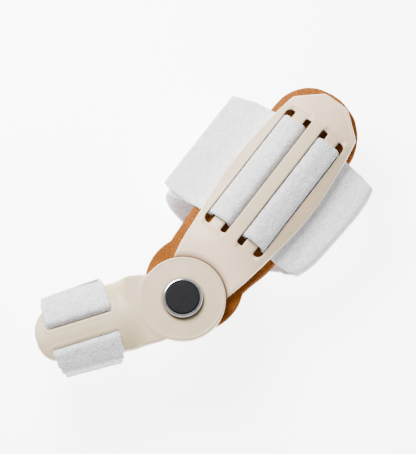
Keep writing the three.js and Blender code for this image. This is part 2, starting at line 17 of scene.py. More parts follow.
import bpy
import numpy as np
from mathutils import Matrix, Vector

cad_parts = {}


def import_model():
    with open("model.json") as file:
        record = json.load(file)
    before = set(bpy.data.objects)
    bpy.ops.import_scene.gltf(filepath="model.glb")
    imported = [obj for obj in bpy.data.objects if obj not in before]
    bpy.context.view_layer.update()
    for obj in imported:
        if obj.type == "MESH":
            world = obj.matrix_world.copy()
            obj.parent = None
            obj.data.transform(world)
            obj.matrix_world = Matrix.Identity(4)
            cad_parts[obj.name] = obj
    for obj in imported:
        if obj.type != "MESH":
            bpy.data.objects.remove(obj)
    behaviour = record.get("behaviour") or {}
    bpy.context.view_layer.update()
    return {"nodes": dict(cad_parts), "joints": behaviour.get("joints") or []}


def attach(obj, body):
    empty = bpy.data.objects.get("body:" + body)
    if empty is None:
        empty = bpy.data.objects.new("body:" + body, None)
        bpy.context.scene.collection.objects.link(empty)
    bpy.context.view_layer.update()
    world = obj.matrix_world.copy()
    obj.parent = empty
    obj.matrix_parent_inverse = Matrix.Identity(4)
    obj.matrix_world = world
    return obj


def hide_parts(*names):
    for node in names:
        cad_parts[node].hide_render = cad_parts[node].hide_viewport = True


MILLIMETRE = 0.001
TOE_TURN = 144.5
"""The turn of the toe splint's frame from the foot splint's, in degrees."""
PLATE_SHARP = 40.0
SOFT_SHARP = 60.0
STRAP_SHARP = 75.0
METAL_SHARP = 35.0
"""The angles in degrees past which the edges of each kind of piece are shaded sharp."""

log = logging.getLogger("bunion_corrector")

Array = np.ndarray
Height = Callable[[Array, Array], Array]


class Body(Enum):
    """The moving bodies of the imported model."""

    FOOT = "foot_splint"
    TOE = "toe_splint"


class Slot(Enum):
    """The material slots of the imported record."""

    PLASTIC = "moulded_plastic"
    FOAM = "foam"
    STRAP = "strap"
    BEZEL = "bezel"
    CAP = "cap"
    PIN = "pin"


class Edge(Enum):
    """The two long edges of a strap: near the hinge and far from it."""

    NEAR = "near"
    FAR = "far"


def smooth(value: Array | float, start: float, end: float) -> Array:
    """A smooth step from 0 at start to 1 at end."""
    share = np.clip((np.asarray(value, float) - start) / (end - start), 0, 1)
    return share * share * (3 - 2 * share)


def graded(*spans: tuple[float, float], end: float) -> Array:
    """Evenly spaced numbers in several spans.

    Args:
        spans: The start of each span and the largest step in it.
        end: The end of the last span.

    Returns:
        All the numbers in rising order, each span's ends included.
    """
    stops = [start for start, _ in spans[1:]] + [end]
    made = [np.array([spans[0][0]])]
    for (start, step), stop in zip(spans, stops):
        count = max(1, math.ceil((stop - start) / step - 1e-9))
        made.append(np.linspace(start, stop, count + 1)[1:])
    return np.concatenate(made)


def smooth_line(rows: Sequence[Sequence[float]], per_span: int = 12) -> Array:
    """A smooth line through the rows of a table, whose first column rises.

    Args:
        rows: The rows, each a point.
        per_span: How many points each span gets.

    Returns:
        The points, one a row.
    """
    points = np.array(rows, float)
    slopes = np.gradient(points, points[:, 0], axis=0)
    made = [points[:1]]
    for a, b, slope_a, slope_b in zip(points, points[1:], slopes, slopes[1:]):
        t = np.linspace(0, 1, per_span + 1)[1:, None]
        width = b[0] - a[0]
        made.append(
            a * (2 * t**3 - 3 * t**2 + 1)
            + slope_a * width * (t**3 - 2 * t**2 + t)
            + b * (3 * t**2 - 2 * t**3)
            + slope_b * width * (t**3 - t**2)
        )
    return np.concatenate(made)


def distance_to(line: Array, x: Array, y: Array) -> Array:
    """The distance of each place (x, y) from a line of points."""
    near = np.full(x.shape, np.inf)
    for (ax, ay), (bx, by) in zip(line, line[1:]):
        ux, uy = bx - ax, by - ay
        length = ux * ux + uy * uy
        if length < 1e-12:
            continue
        t = np.clip(((x - ax) * ux + (y - ay) * uy) / length, 0, 1)
        near = np.minimum(near, np.hypot(x - ax - t * ux, y - ay - t * uy))
    return near


def rounding(distance: Array, radius: Array | float) -> Array:
    """How far a face falls at a distance inside a rounded edge of that radius."""
    t = np.clip(1 - distance / radius, 0, 1)
    return radius * (1 - np.sqrt(np.maximum(1 - t * t, 0)))


def lumps(x: Array, y: Array, z: Array, seed: int, size: float, waves: int = 9) -> Array:
    """Soft unevenness from a few sine waves, the same in every run.

    Args:
        x, y, z: The places.
        seed: Picks the waves.
        size: The middle wave length.
        waves: How many waves are added.

    Returns:
        A value of about -1 to 1 at each place.
    """
    draw = np.random.default_rng(seed)
    total = np.zeros(np.broadcast(x, y, z).shape)
    for _ in range(waves):
        heading = draw.normal(size=3)
        heading /= np.linalg.norm(heading)
        reach = 2 * math.pi / (size * draw.uniform(0.6, 1.7))
        turn = draw.uniform(0, 2 * math.pi)
        total += np.sin((x * heading[0] + y * heading[1] + z * heading[2]) * reach + turn)
    return total / math.sqrt(waves * 2)


def linked(name: str, data: bpy.types.ID) -> bpy.types.Object:
    """A new object of the scene, at the origin, that holds some data."""
    made = bpy.data.objects.new(name, data)
    bpy.context.scene.collection.objects.link(made)
    return made


def evaluated_mesh(piece: bpy.types.Object, name: str) -> bpy.types.Mesh:
    """A plain mesh of a piece with its modifiers carried out."""
    bpy.context.view_layer.update()
    graph = bpy.context.evaluated_depsgraph_get()
    mesh = bpy.data.meshes.new_from_object(piece.evaluated_get(graph))
    mesh.name = name
    return mesh


@dataclass(frozen=True)
class Place:
    """Where a splint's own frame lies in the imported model's frame."""

    x: float
    y: float
    angle: float = 0.0

    def metres(self, points: Array) -> Array:
        """Points of the splint, in millimetres, as points of the model, in metres."""
        cos, sin = math.cos(self.angle), math.sin(self.angle)
        moved = np.array(points, float)
        moved[:, 0] = points[:, 0] * cos - points[:, 1] * sin
        moved[:, 1] = points[:, 0] * sin + points[:, 1] * cos
        return moved * MILLIMETRE + np.array([self.x, self.y, 0.0])


@dataclass
class Shell:
    """A mesh being made: its corners and its faces, with one number a corner for its finish."""

    points: Array
    faces: list[tuple[int, ...]]
    tones: dict[str, Array] = field(default_factory=dict)

    def build(self, name: str, place: Place, sharp: float = PLATE_SHARP) -> bpy.types.Object:
        """Makes the object.

        Args:
            name: The object's name.
            place: Where its frame lies.
            sharp: The angle in degrees past which an edge is shaded sharp.

        Returns:
            The object, at the origin, with its place in its mesh.
        """
        used = np.unique(np.concatenate([np.array(f) for f in self.faces]))
        fresh = np.full(len(self.points), -1)
        fresh[used] = np.arange(len(used))
        mesh = bpy.data.meshes.new(name)
        faces = [tuple(int(fresh[k]) for k in f) for f in self.faces]
        mesh.from_pydata(place.metres(self.points[used]).tolist(), [], faces)
        for tone, values in self.tones.items():
            layer = mesh.attributes.new(tone, "FLOAT", "POINT")
            layer.data.foreach_set("value", values[used].astype(np.float32))
        mesh.update()
        shade(mesh, sharp)
        return linked(name, mesh)


def shade(mesh: bpy.types.Mesh, sharp: float) -> None:
    """Shades a mesh smooth, apart from edges past an angle in degrees."""
    mesh.shade_smooth()
    mesh.set_sharp_from_angle(angle=math.radians(sharp))


def plate_shell(x: Array, y: Array, top: Array, bottom: Array, is_open: Array) -> Shell:
    """A closed plate over a grid of places, with walls round its rim and its holes.

    Args:
        x, y: The places, in rows along the plate and columns across it.
        top, bottom: The heights of the two faces at those places.
        is_open: True for each cell that is a hole.

    Returns:
        The plate.
    """
    rows, columns = x.shape
    layer = rows * columns
    index = np.arange(layer).reshape(rows, columns)
    solid = np.zeros((rows + 1, columns + 1), bool)
    solid[1:-1, 1:-1] = ~is_open
    a, b = index[:-1, :-1], index[1:, :-1]
    c, d = index[1:, 1:], index[:-1, 1:]
    keep = solid[1:-1, 1:-1]
    faces = [
        *zip(a[keep], b[keep], c[keep], d[keep]),
        *zip(d[keep] + layer, c[keep] + layer, b[keep] + layer, a[keep] + layer),
    ]
    sides = [
        (a, b, solid[1:-1, :-2]),
        (b, c, solid[2:, 1:-1]),
        (c, d, solid[1:-1, 2:]),
        (d, a, solid[:-2, 1:-1]),
    ]
    for start, end, beyond in sides:
        wall = keep & ~beyond
        s, e = start[wall], end[wall]
        faces += [*zip(s + layer, e + layer, e, s)]
    points = np.concatenate(
        [np.stack([x, y, z], -1).reshape(-1, 3) for z in (top, bottom)],
    )
    return Shell(points, faces)


def lathe_shell(profile: Sequence[Sequence[float]], sides: int, closed: bool) -> Shell:
    """A body turned about the hinge axis.

    Args:
        profile: Its [radius, height] pairs, anticlockwise with the radius to the right.
        sides: How many sides it has.
        closed: Whether the profile is a ring. If not, its ends lie on the axis.

    Returns:
        The body.
    """
    line = np.array(profile, float)
    angles = np.linspace(0, 2 * math.pi, sides, endpoint=False)
    inner = line if closed else line[1:-1]
    radius, height = inner[:, 0], inner[:, 1]
    grid = np.stack(
        [
            np.outer(np.cos(angles), radius),
            np.outer(np.sin(angles), radius),
            np.tile(height, (sides, 1)),
        ],
        -1,
    ).reshape(-1, 3)
    count = len(inner)
    faces: list[tuple[int, ...]] = []
    steps = count if closed else count - 1
    for k in range(sides):
        here, there = k * count, (k + 1) % sides * count
        for j in range(steps):
            up = (j + 1) % count
            faces.append((here + j, there + j, there + up, here + up))
    if not closed:
        poles = len(grid)
        grid = np.concatenate([grid, [[0, 0, line[0, 1]], [0, 0, line[-1, 1]]]])
        for k in range(sides):
            here, there = k * count, (k + 1) % sides * count
            faces.append((poles, there, here))
            faces.append((poles + 1, here + count - 1, there + count - 1))
    return Shell(grid, faces)


def arc(centre: tuple[float, float], radius: float, start: float, end: float, steps: int) -> Array:
    """Points on an arc of a profile, with its angles in degrees."""
    angles = np.radians(np.linspace(start, end, steps + 1))
    return np.stack([centre[0] + radius * np.cos(angles), centre[1] + radius * np.sin(angles)], -1)


def united(name: str, base: bpy.types.Object, other: bpy.types.Object) -> bpy.types.Object:
    """Two closed meshes made into one, which takes the place of both."""
    joined = base.modifiers.new("union", "BOOLEAN")
    joined.operation = "UNION"
    joined.solver = "MANIFOLD"
    joined.object = other
    mesh = evaluated_mesh(base, name)
    log.info("%s: united, %d corners", name, len(mesh.vertices))
    for old in (base, other):
        bpy.data.objects.remove(old)
    shade(mesh, PLATE_SHARP)
    return linked(name, mesh)


class Wire:
    """A shader socket that can be used in arithmetic on single values."""

    def __init__(self, graph: Graph, socket: bpy.types.NodeSocket) -> None:
        """Keeps the graph and the socket."""
        self.graph = graph
        self.socket = socket

    def _math(self, operation: str, first: Any, second: Any) -> Wire:
        """A Math node on two values."""
        node = self.graph.node("ShaderNodeMath", {"operation": operation}, {0: first, 1: second})
        return Wire(self.graph, node.outputs[0])

    def __add__(self, other: Any) -> Wire:
        """This value plus another."""
        return self._math("ADD", self, other)

    def __radd__(self, other: Any) -> Wire:
        """Another value plus this one."""
        return self._math("ADD", other, self)

    def __sub__(self, other: Any) -> Wire:
        """This value less another."""
        return self._math("SUBTRACT", self, other)

    def __rsub__(self, other: Any) -> Wire:
        """Another value less this one."""
        return self._math("SUBTRACT", other, self)

    def __mul__(self, other: Any) -> Wire:
        """This value times another."""
        return self._math("MULTIPLY", self, other)

    def __rmul__(self, other: Any) -> Wire:
        """Another value times this one."""
        return self._math("MULTIPLY", other, self)

    def step(self, start: float, end: float) -> Wire:
        """A smooth step from 0 at start to 1 at end."""
        node = self.graph.node(
            "ShaderNodeMapRange",
            {"interpolation_type": "SMOOTHSTEP"},
            {"Value": self, "From Min": start, "From Max": end, "To Min": 0.0, "To Max": 1.0},
        )
        return Wire(self.graph, node.outputs["Result"])


def fill(
    tree: bpy.types.NodeTree,
    node: bpy.types.Node,
    sockets: Mapping[str | int, Any],
) -> None:
    """Sets or links inputs of a node."""
    for key, value in sockets.items():
        source = value.socket if isinstance(value, Wire) else value
        if isinstance(source, bpy.types.NodeSocket):
            tree.links.new(source, node.inputs[key])
        else:
            node.inputs[key].default_value = source


def add_node(
    tree: bpy.types.NodeTree,
    kind: str,
    settings: Mapping[str, Any],
    sockets: Mapping[str | int, Any],
) -> bpy.types.Node:
    """Adds a node to a tree.

    Args:
        tree: The tree.
        kind: The node's type.
        settings: Its own settings, which are made first.
        sockets: The value, the socket or the wire of each input.

    Returns:
        The node.
    """
    made = tree.nodes.new(kind)
    for name, value in settings.items():
        setattr(made, name, value)
    fill(tree, made, sockets)
    return made


class Graph:
    """The node graph of one material."""

    def __init__(self, name: str) -> None:
        """Makes the material with its shader and output."""
        self.material = bpy.data.materials.new(name)
        self.material.use_nodes = True
        self.tree = self.material.node_tree
        self.tree.nodes.clear()
        self.shader = self.tree.nodes.new("ShaderNodeBsdfPrincipled")
        output = self.tree.nodes.new("ShaderNodeOutputMaterial")
        self.tree.links.new(self.shader.outputs[0], output.inputs[0])
        coordinates = self.tree.nodes.new("ShaderNodeTexCoord")
        self.place = Wire(self, coordinates.outputs["Object"])

    def node(
        self,
        kind: str,
        settings: Mapping[str, Any],
        sockets: Mapping[str | int, Any],
    ) -> bpy.types.Node:
        """Adds a node, as add_node does."""
        return add_node(self.tree, kind, settings, sockets)

    def noise(self, scale: float, detail: float = 2.0, roughness: float = 0.5) -> Wire:
        """Noise on the piece's own place, with scale in waves a metre."""
        node = self.node(
            "ShaderNodeTexNoise",
            {"noise_dimensions": "3D"},
            {"Vector": self.place, "Scale": scale, "Detail": detail, "Roughness": roughness},
        )
        return Wire(self, node.outputs["Fac"])

    def cells(self, scale: float) -> Wire:
        """The distance from the nearest of many scattered points, with scale in points a metre."""
        node = self.node(
            "ShaderNodeTexVoronoi",
            {"feature": "F1"},
            {"Vector": self.place, "Scale": scale},
        )
        return Wire(self, node.outputs["Distance"])

    def tone(self, name: str) -> Wire:
        """A number that the mesh keeps for each corner."""
        node = self.node("ShaderNodeAttribute", {"attribute_name": name}, {})
        return Wire(self, node.outputs["Fac"])

    def mix(self, share: Wire | float, first: Any, second: Any) -> Wire:
        """A mix of two colours."""
        node = self.node("ShaderNodeMix", {"data_type": "RGBA"}, {0: share, 6: first, 7: second})
        return Wire(self, node.outputs[2])

    def bump(self, height: Wire, depth: float, strength: float = 1.0) -> Wire:
        """A bump from a height of 0 to 1 that stands for that depth in metres."""
        node = self.node(
            "ShaderNodeBump",
            {},
            {"Strength": strength, "Distance": depth, "Height": height},
        )
        return Wire(self, node.outputs["Normal"])

    def finish(self, sockets: Mapping[str, Any]) -> bpy.types.Material:
        """Sets the shader's inputs and gives the material."""
        fill(self.tree, self.shader, sockets)
        return self.material


Colour = tuple[float, float, float, float]


def paint(red: float, green: float, blue: float) -> Colour:
    """A colour as the shader takes it, from its three shares of the light."""
    return (red, green, blue, 1.0)


@dataclass(frozen=True)
class MouldedPlastic:
    """Satin cream plastic, a little yellower away from the hinge, with painted highlights on its
    edges and painted shade in its creases.
    """

    name: str = "moulded_plastic"
    rose: Colour = paint(0.62, 0.44, 0.3)
    straw: Colour = paint(0.42, 0.335, 0.195)
    # The colour of the painted highlight along the rounded edges.
    painted_highlight: Colour = paint(0.85, 0.7, 0.53)
    # The colour of the painted shade in grooves, at the slots' edges and round the knob.
    shade: Colour = paint(0.14, 0.09, 0.055)
    grain: float = 900.0

    def material(self) -> bpy.types.Material:
        """Makes the material."""
        graph = Graph(self.name)
        flow = graph.noise(60.0, 3.0, 0.55)
        pebble = graph.noise(self.grain, 2.0, 0.6)
        yellow = graph.tone("reach") * 0.75 + flow.step(0.35, 0.65) * 0.25
        base = graph.mix(yellow, self.rose, self.straw)
        # Painted highlight: the edge tone lightens the sloped rims towards the highlight colour.
        edge = graph.tone("edge") * (0.6 + flow * 0.4)
        bright = graph.mix(edge, base, self.painted_highlight)
        # Painted shade: darkens the grooves, the slots' edges and the ring round the knob.
        colour = graph.mix(graph.tone("painted_shade"), bright, self.shade)
        return graph.finish(
            {
                "Base Color": colour,
                "Roughness": 0.4 + flow * 0.14 - edge * 0.12,
                "Normal": graph.bump(pebble, 0.00002, 0.5),
                "IOR": 1.46,
            },
        )


@dataclass(frozen=True)
class GrainedFoam:
    """Tan closed foam with fine pores."""

    name: str = "foam"
    light: Colour = paint(0.27, 0.088, 0.014)
    dark: Colour = paint(0.045, 0.012, 0.002)

    def material(self) -> bpy.types.Material:
        """Makes the material."""
        graph = Graph(self.name)
        pores = graph.cells(900.0)
        grain = graph.noise(2100.0, 2.0, 0.6)
        cloud = graph.noise(120.0, 3.0, 0.5)
        share = 0.1 + grain.step(0.38, 0.64) * 0.6 + cloud.step(0.3, 0.7) * 0.15
        height = grain * 0.6 + pores * 0.4
        return graph.finish(
            {
                "Base Color": graph.mix(share, self.light, self.dark),
                "Roughness": 0.82 + grain * 0.15,
                "Normal": graph.bump(height, 0.0003, 0.8),
                "Specular IOR Level": 0.08,
            },
        )


@dataclass(frozen=True)
class BrushedLoop:
    """White brushed loop cloth with a soft mottled nap, greyed by painted shade where its dull tone
    is set.
    """

    name: str
    light: Colour = paint(0.95, 0.95, 0.965)
    dark: Colour = paint(0.27, 0.27, 0.28)
    edge: Colour = paint(0.62, 0.62, 0.64)

    def material(self) -> bpy.types.Material:
        """Makes the material."""
        graph = Graph(self.name)
        tufts = graph.noise(900.0, 3.0, 0.7)
        clouds = graph.noise(280.0, 4.0, 0.62)
        curls = graph.cells(1200.0)
        spots = tufts.step(0.38, 0.62) * 0.42 + clouds.step(0.38, 0.64) * 0.22
        # Painted shade: the dull tone greys the cloth.
        share = spots + graph.tone("dull") * 0.45
        height = clouds * 0.45 + tufts * 0.4 + curls * 0.25
        colour = graph.mix(graph.tone("rim"), graph.mix(share, self.light, self.dark), self.edge)
        return graph.finish(
            {
                "Base Color": colour,
                "Roughness": 0.86 + tufts * 0.12,
                "Normal": graph.bump(height, 0.0010, 0.9),
                "Sheen Weight": 0.2,
                "Sheen Roughness": 0.5,
            },
        )


@dataclass(frozen=True)
class NapFibre:
    """The standing fibres of the loop cloth."""

    name: str = "nap_fibre"
    light: Colour = paint(0.9, 0.9, 0.91)
    dark: Colour = paint(0.27, 0.27, 0.28)

    def material(self) -> bpy.types.Material:
        """Makes the material."""
        graph = Graph(self.name)
        patch = graph.noise(850.0, 3.0, 0.7)
        # Painted shade: the dull tone greys the fibres.
        share = patch.step(0.38, 0.62) * 0.6 + graph.tone("dull") * 0.45
        colour = graph.mix(share, self.light, self.dark)
        return graph.finish(
            {"Base Color": colour, "Roughness": 0.8 + patch * 0.15, "Sheen Weight": 0.3},
        )


@dataclass(frozen=True)
class PlatedMetal:
    """Bright plated metal with very fine scratches, and painted shadow where its foot tone is set.
    """

    name: str
    bright: Colour = paint(0.5, 0.5, 0.52)
    dull: Colour = paint(0.34, 0.34, 0.36)
    # The colour of the painted shadow.
    painted_shadow: Colour = paint(0.03, 0.03, 0.032)
    gloss: float = 0.06

    def material(self) -> bpy.types.Material:
        """Makes the material."""
        graph = Graph(self.name)
        smear = graph.noise(420.0, 3.0, 0.6)
        scratch = graph.noise(5200.0, 2.0, 0.7)
        clean = graph.mix(smear.step(0.35, 0.7), self.bright, self.dull)
        return graph.finish(
            {
                # Painted shadow darkens the metal where the foot tone is set.
                "Base Color": graph.mix(graph.tone("foot"), clean, self.painted_shadow),
                "Metallic": 1.0,
                "Roughness": self.gloss + smear * 0.1,
                "Normal": graph.bump(scratch, 0.00001, 0.4),
            },
        )


@dataclass(frozen=True)
class TexturedCap:
    """Dark plastic with a fine spark texture."""

    name: str = "cap"
    dark: Colour = paint(0.005, 0.005, 0.006)
    light: Colour = paint(0.016, 0.016, 0.017)

    def material(self) -> bpy.types.Material:
        """Makes the material."""
        graph = Graph(self.name)
        spark = graph.noise(2600.0, 3.0, 0.7)
        cloud = graph.noise(260.0, 2.0)
        share = spark.step(0.45, 0.75) * 0.6 + cloud * 0.25
        return graph.finish(
            {
                "Base Color": graph.mix(share, self.dark, self.light),
                "Roughness": 0.55 + spark * 0.25,
                "Normal": graph.bump(spark, 0.00006, 0.6),
                "Specular IOR Level": 0.08,
            },
        )


@dataclass(frozen=True)
class PaleFloor:
    """The plain floor, which glows a little so that it stays pale."""

    name: str = "pale_floor"
    colour: Colour = paint(0.93, 0.93, 0.93)
    cloudy: Colour = paint(0.86, 0.86, 0.86)
    light: Colour = paint(1.0, 1.0, 1.0)
    glow: float = 5.5

    def material(self) -> bpy.types.Material:
        """Makes the material."""
        graph = Graph(self.name)
        cloud = graph.noise(3.0, 2.0)
        return graph.finish(
            {
                "Base Color": graph.mix(cloud * 0.05, self.colour, self.cloudy),
                "Emission Color": self.light,
                "Emission Strength": self.glow,
                "Roughness": 0.9,
                "Specular IOR Level": 0.2,
            },
        )


def put_on(piece: bpy.types.Object, material: bpy.types.Material) -> None:
    """Gives a piece one material."""
    piece.data.materials.clear()
    piece.data.materials.append(material)


def settle(piece: bpy.types.Object, body: Body, node: str | None = None) -> None:
    """Lets a finished piece ride on its body and the CAD node that it stands for."""
    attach(piece, body.value)
    if node is not None:
        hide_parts(node)
    count = sum(len(p.vertices) - 2 for p in piece.data.polygons)
    log.info("%s: %d triangles on %s", piece.name, count, body.value)


@dataclass(frozen=True)
class Sizes:
    """The sizes of the solids that the dressed pieces repeat, in millimetres."""

    gap: float = 0.3
    plate_wall: float = 2.4
    strap_wall: float = 1.8
    pad_wall: float = 4.0
    slot_play: float = 0.5
    foot_arch: float = 45.0
    crown: float = 41.5
    toe_arch: float = 26.0
    toe_disc: float = 18.2
    toe_disc_wall: float = 3.0
    foot_disc: float = 17.5
    foot_disc_wall: float = 2.2
    pin_radius: float = 3.2
    pin_head: float = 5.3
    pin_head_depth: float = 1.2

    @property
    def slot_width(self) -> float:
        """The width of every slot."""
        return self.strap_wall + 2 * self.slot_play

    @property
    def foot_depth(self) -> float:
        """From the foot plate's outer face to the top of the pad."""
        return self.plate_wall + self.gap + self.strap_wall + self.gap

    @property
    def foot_disc_bottom(self) -> float:
        """The underside of the foot disc."""
        return self.crown - self.foot_depth + self.gap

    @property
    def foot_disc_top(self) -> float:
        """The upper face of the foot disc."""
        return self.foot_disc_bottom + self.foot_disc_wall

    @property
    def toe_disc_bottom(self) -> float:
        """The underside of the toe disc."""
        return self.foot_disc_top + self.gap

    @property
    def toe_disc_top(self) -> float:
        """The upper face of the toe disc."""
        return self.toe_disc_bottom + self.toe_disc_wall

    @property
    def knob_bottom(self) -> float:
        """The underside of the knob."""
        return self.toe_disc_top + self.gap


def arch_height(y: Array | float, depth: float, radius: float, crown: float) -> Array:
    """Height of a face that lies depth below an arched outer face."""
    inner = radius - depth
    return crown - radius + np.sqrt(np.maximum(inner**2 - np.square(y), 0))


def arc_row(x: Array, y: Array, straight: float, full: float) -> Array:
    """Where a row of places lies that is round about the hinge at first and straight further out.

    Args:
        x: The row's place on the middle line.
        y: The distances from the middle line.
        straight: The place from which the rows are straight.
        full: The place up to which they are round.

    Returns:
        The place of each point along the plate.
    """
    share = 1 - smooth(x, full, straight)
    return x - share * (x - np.sqrt(np.maximum(x * x - y * y, 0)))


def slot_ring(
    span: tuple[float, float],
    edges: tuple[float, float],
    corners: tuple[float, float],
    outer_steps: int,
) -> Array:
    """The edge of a slot with rounded corners, as a closed line.

    Args:
        span: Where the slot starts and stops along the plate.
        edges: Its two long edges across the plate, the inner one first.
        corners: The radius of the corners on each of them.
        outer_steps: How many steps a corner on the outer edge has.

    Returns:
        The points of the line.
    """
    (start, stop), (low, high), (inner, outer) = span, edges, corners
    inner_steps = 5
    parts = [
        arc((stop - inner, low + inner), inner, -90, 0, inner_steps),
        arc((stop - outer, high - outer), outer, 0, 90, outer_steps),
        arc((start + outer, high - outer), outer, 90, 180, outer_steps),
        arc((start + inner, low + inner), inner, 180, 270, inner_steps),
    ]
    line = np.concatenate(parts)
    return np.concatenate([line, line[:1]])


def corner_inset(into: Array, corner: float, tail: float) -> Array:
    """How far a slot's edge moves in at the slot's rounded ends.

    Args:
        into: How far each row lies inside the slot's nearer end.
        corner: The radius of the corners.
        tail: How far past the end the mesh's line takes to come back.

    Returns:
        The shift of each row.
    """
    inside = np.clip(into, 0, corner)
    curve = corner - np.sqrt(np.maximum(corner**2 - (corner - inside) ** 2, 0))
    return np.where(into >= 0, curve, corner * np.clip(1 + into / tail, 0, 1))


def column_shares(widths: Sequence[float], slot_step: float) -> tuple[Array, Array]:
    """How the columns on one side of a plate are spread, closer together beside an edge.

    Args:
        widths: The widths of the spans from the middle outwards. Every second one is a slot.
        slot_step: The largest step between two columns of a slot.

    Returns:
        The span of each column and its share of that span.
    """
    near_edge = np.array([0, 0.1, 0.25, 0.45, 0.75])
    plate_step, room = 0.5, 0.25
    spans: list[int] = []
    shares: list[float] = []
    for k, width in enumerate(widths):
        is_slot = k % 2 == 1
        step = slot_step if is_slot else plate_step
        even = np.linspace(0, width, math.ceil(width / step) + 1)
        low = near_edge if k and not is_slot else near_edge[:1]
        high = width - (near_edge[:1] if is_slot else near_edge[::-1])
        middle = even[(even > low[-1] + room) & (even < high[0] - room)]
        values = np.concatenate([low, middle, high]) / width
        values = values[1:] if k else values
        spans += [k] * len(values)
        shares += list(values)
    return np.array(spans), np.array(shares)


@dataclass
class FootPlate:
    """The long moulded plate with four slots, two sunk bars and the round seat of the hinge.

    Each of rows_before says where a stretch of the mesh's rows starts and how far apart they are.
    """

    sizes: Sizes
    place: Place
    length: float = 111.2
    half_width: float = 20.8
    slot_start: float = 34.0
    slot_stop: float = 97.0
    centre_rib: float = 6.0
    bar: float = 5.8
    outer_room: float = 0.8
    recess: float = 1.0
    recess_end: float = 3.0
    far_fall: float = 0.8
    tip_lip: float = 0.24
    seat_play: float = 0.7
    seat_slope: float = 2.6
    seat_fall: float = 1.05
    small_corner: float = 0.7
    large_corner: float = 2.6
    edge_round: float = 0.75
    rim_round: float = 0.5
    bar_round: float = 0.8
    under_round: float = 0.4
    slot_under_round: float = 0.3
    straight_from: float = 31.0
    round_to: float = 22.5
    outer_span: float = 5.0
    yellowing: float = 0.72
    rows_before: tuple[tuple[float, float], ...] = (
        (15.4, 0.6),
        (18.0, 0.2),
        (22.6, 0.5),
        (30.4, 0.3),
    )
    outline: tuple[tuple[float, float], ...] = (
        (0.11, 0.687),
        (0.183, 0.769),
        (0.274, 0.841),
        (0.321, 0.875),
        (0.545, 1.0),
        (0.7, 0.975),
        (0.823, 0.909),
    )
    tip: tuple[tuple[float, float], ...] = (
        (0.873, 0.862),
        (0.922, 0.808),
        (0.96, 0.555),
        (0.998, 0.3),
        (1.0, 0.25),
    )

    @property
    def lines(self) -> Array:
        """The slots' edges across the plate, from the middle outwards."""
        inner = self.centre_rib / 2
        width = self.sizes.slot_width
        outer = inner + width + self.bar
        return np.array([inner, inner + width, outer, outer + width + self.outer_room])

    def _outline(self) -> Array:
        """The outline's places and half widths."""
        side = smooth_line(self.outline)
        whole = np.concatenate([side, np.array(self.tip)])
        return whole * np.array([self.length, self.half_width])

    def half_at(self, x: Array) -> Array:
        """The plate's half width at x."""
        line = self._outline()
        return np.interp(x, line[:, 0], line[:, 1])

    def rim(self) -> Array:
        """The plate's edge as one line, from the hinge round the far end."""
        line = self._outline()
        return np.concatenate([line, line[::-1] * np.array([1, -1])])

    def slot_distance(self, x: Array, y: Array) -> Array:
        """The distance of each place from the nearest slot's edge."""
        low_in, high_in, low_out, high_out = self.lines
        span = (self.slot_start, self.slot_stop)
        small, large = self.small_corner, self.large_corner
        inner = slot_ring(span, (low_in, high_in), (small, small), 6)
        outer = slot_ring(span, (low_out, high_out), (small, large), 6)
        away = np.abs(y)
        return np.minimum(distance_to(inner, x, away), distance_to(outer, x, away))

    def _stations(self) -> Array:
        """The rows' places on the middle line, closer together at the slots' rounded ends."""
        start, stop, end = self.slot_start, self.slot_stop, self.length
        corner = self.large_corner
        entry = start + corner * (1 - np.cos(np.linspace(0, math.pi / 2, 7)))
        leave = stop - corner * (1 - np.cos(np.linspace(math.pi / 2, 0, 7)))
        before = graded(*self.rows_before, end=start)[:-1]
        middle = graded((start + corner, 0.8), end=stop - corner)[1:-1]
        after = graded((stop, 0.3), (stop + 3.4, 0.5), (end - 1.2, 0.16), end=end)[1:]
        return np.concatenate([before, entry, middle, leave, after])

    def _anchors(self, x: Array) -> Array:
        """The middle line and the slots' edges at each x, with the slots' rounded ends."""
        low_in, high_in, low_out, high_out = self.lines
        into = np.minimum(x - self.slot_start, self.slot_stop - x)
        tail = 2.5
        small = corner_inset(into, self.small_corner, tail)
        large = corner_inset(into, self.large_corner, tail)
        edges = [low_in + small, high_in - small, low_out + small, high_out - large]
        return np.stack([np.zeros_like(x), *edges], -1)

    def grid(self) -> tuple[Array, Array, Array]:
        """The places of the plate's grid, and which cells are slots."""
        stations = self._stations()
        low_in, high_in, low_out, high_out = self.lines
        inner, outer = high_in - low_in, high_out - low_out
        widths = [low_in, inner, low_out - high_in, outer, self.outer_span]
        spans, shares = column_shares(widths, 0.56)
        last_span = len(widths) - 1

        def columns(x: Array, row: Array) -> Array:
            """How far from the middle the columns of each row lie, given the rows' places."""
            inside = np.clip(row, self.slot_start, self.slot_stop)
            anchors = self._anchors(row)
            edge = self.half_at(x)
            scale = np.where(row == inside, 1.0, 0.0)[:, None]
            reference = self.half_at(inside)[:, None]
            shrink = scale + (1 - scale) * (edge / reference)
            low = anchors[np.arange(len(row))[:, None], spans] * shrink
            ends = np.concatenate([anchors, np.full((len(row), 1), np.nan)], 1)
            high = ends[np.arange(len(row))[:, None], spans + 1] * shrink
            high = np.where(spans[None] == last_span, edge, high)
            return low + (high - low) * shares

        x = np.repeat(stations[:, None], len(spans), 1)
        y = np.zeros_like(x)
        for _ in range(5):
            for j in range(len(spans)):
                y[:, j] = columns(x[:, j : j + 1], stations)[:, j]
            x = arc_row(stations[:, None], y, self.straight_from, self.round_to)
        x = np.concatenate([x[:, :0:-1], x], 1)
        y = np.concatenate([-y[:, :0:-1], y], 1)
        middle = (x[:-1, :-1] + x[1:, 1:]) / 2
        in_reach = (middle > self.slot_start) & (middle < self.slot_stop)
        cell_span = np.concatenate([spans[:0:-1], spans[1:]])
        return x, y, in_reach & np.isin(cell_span, (1, 3))[None, :]

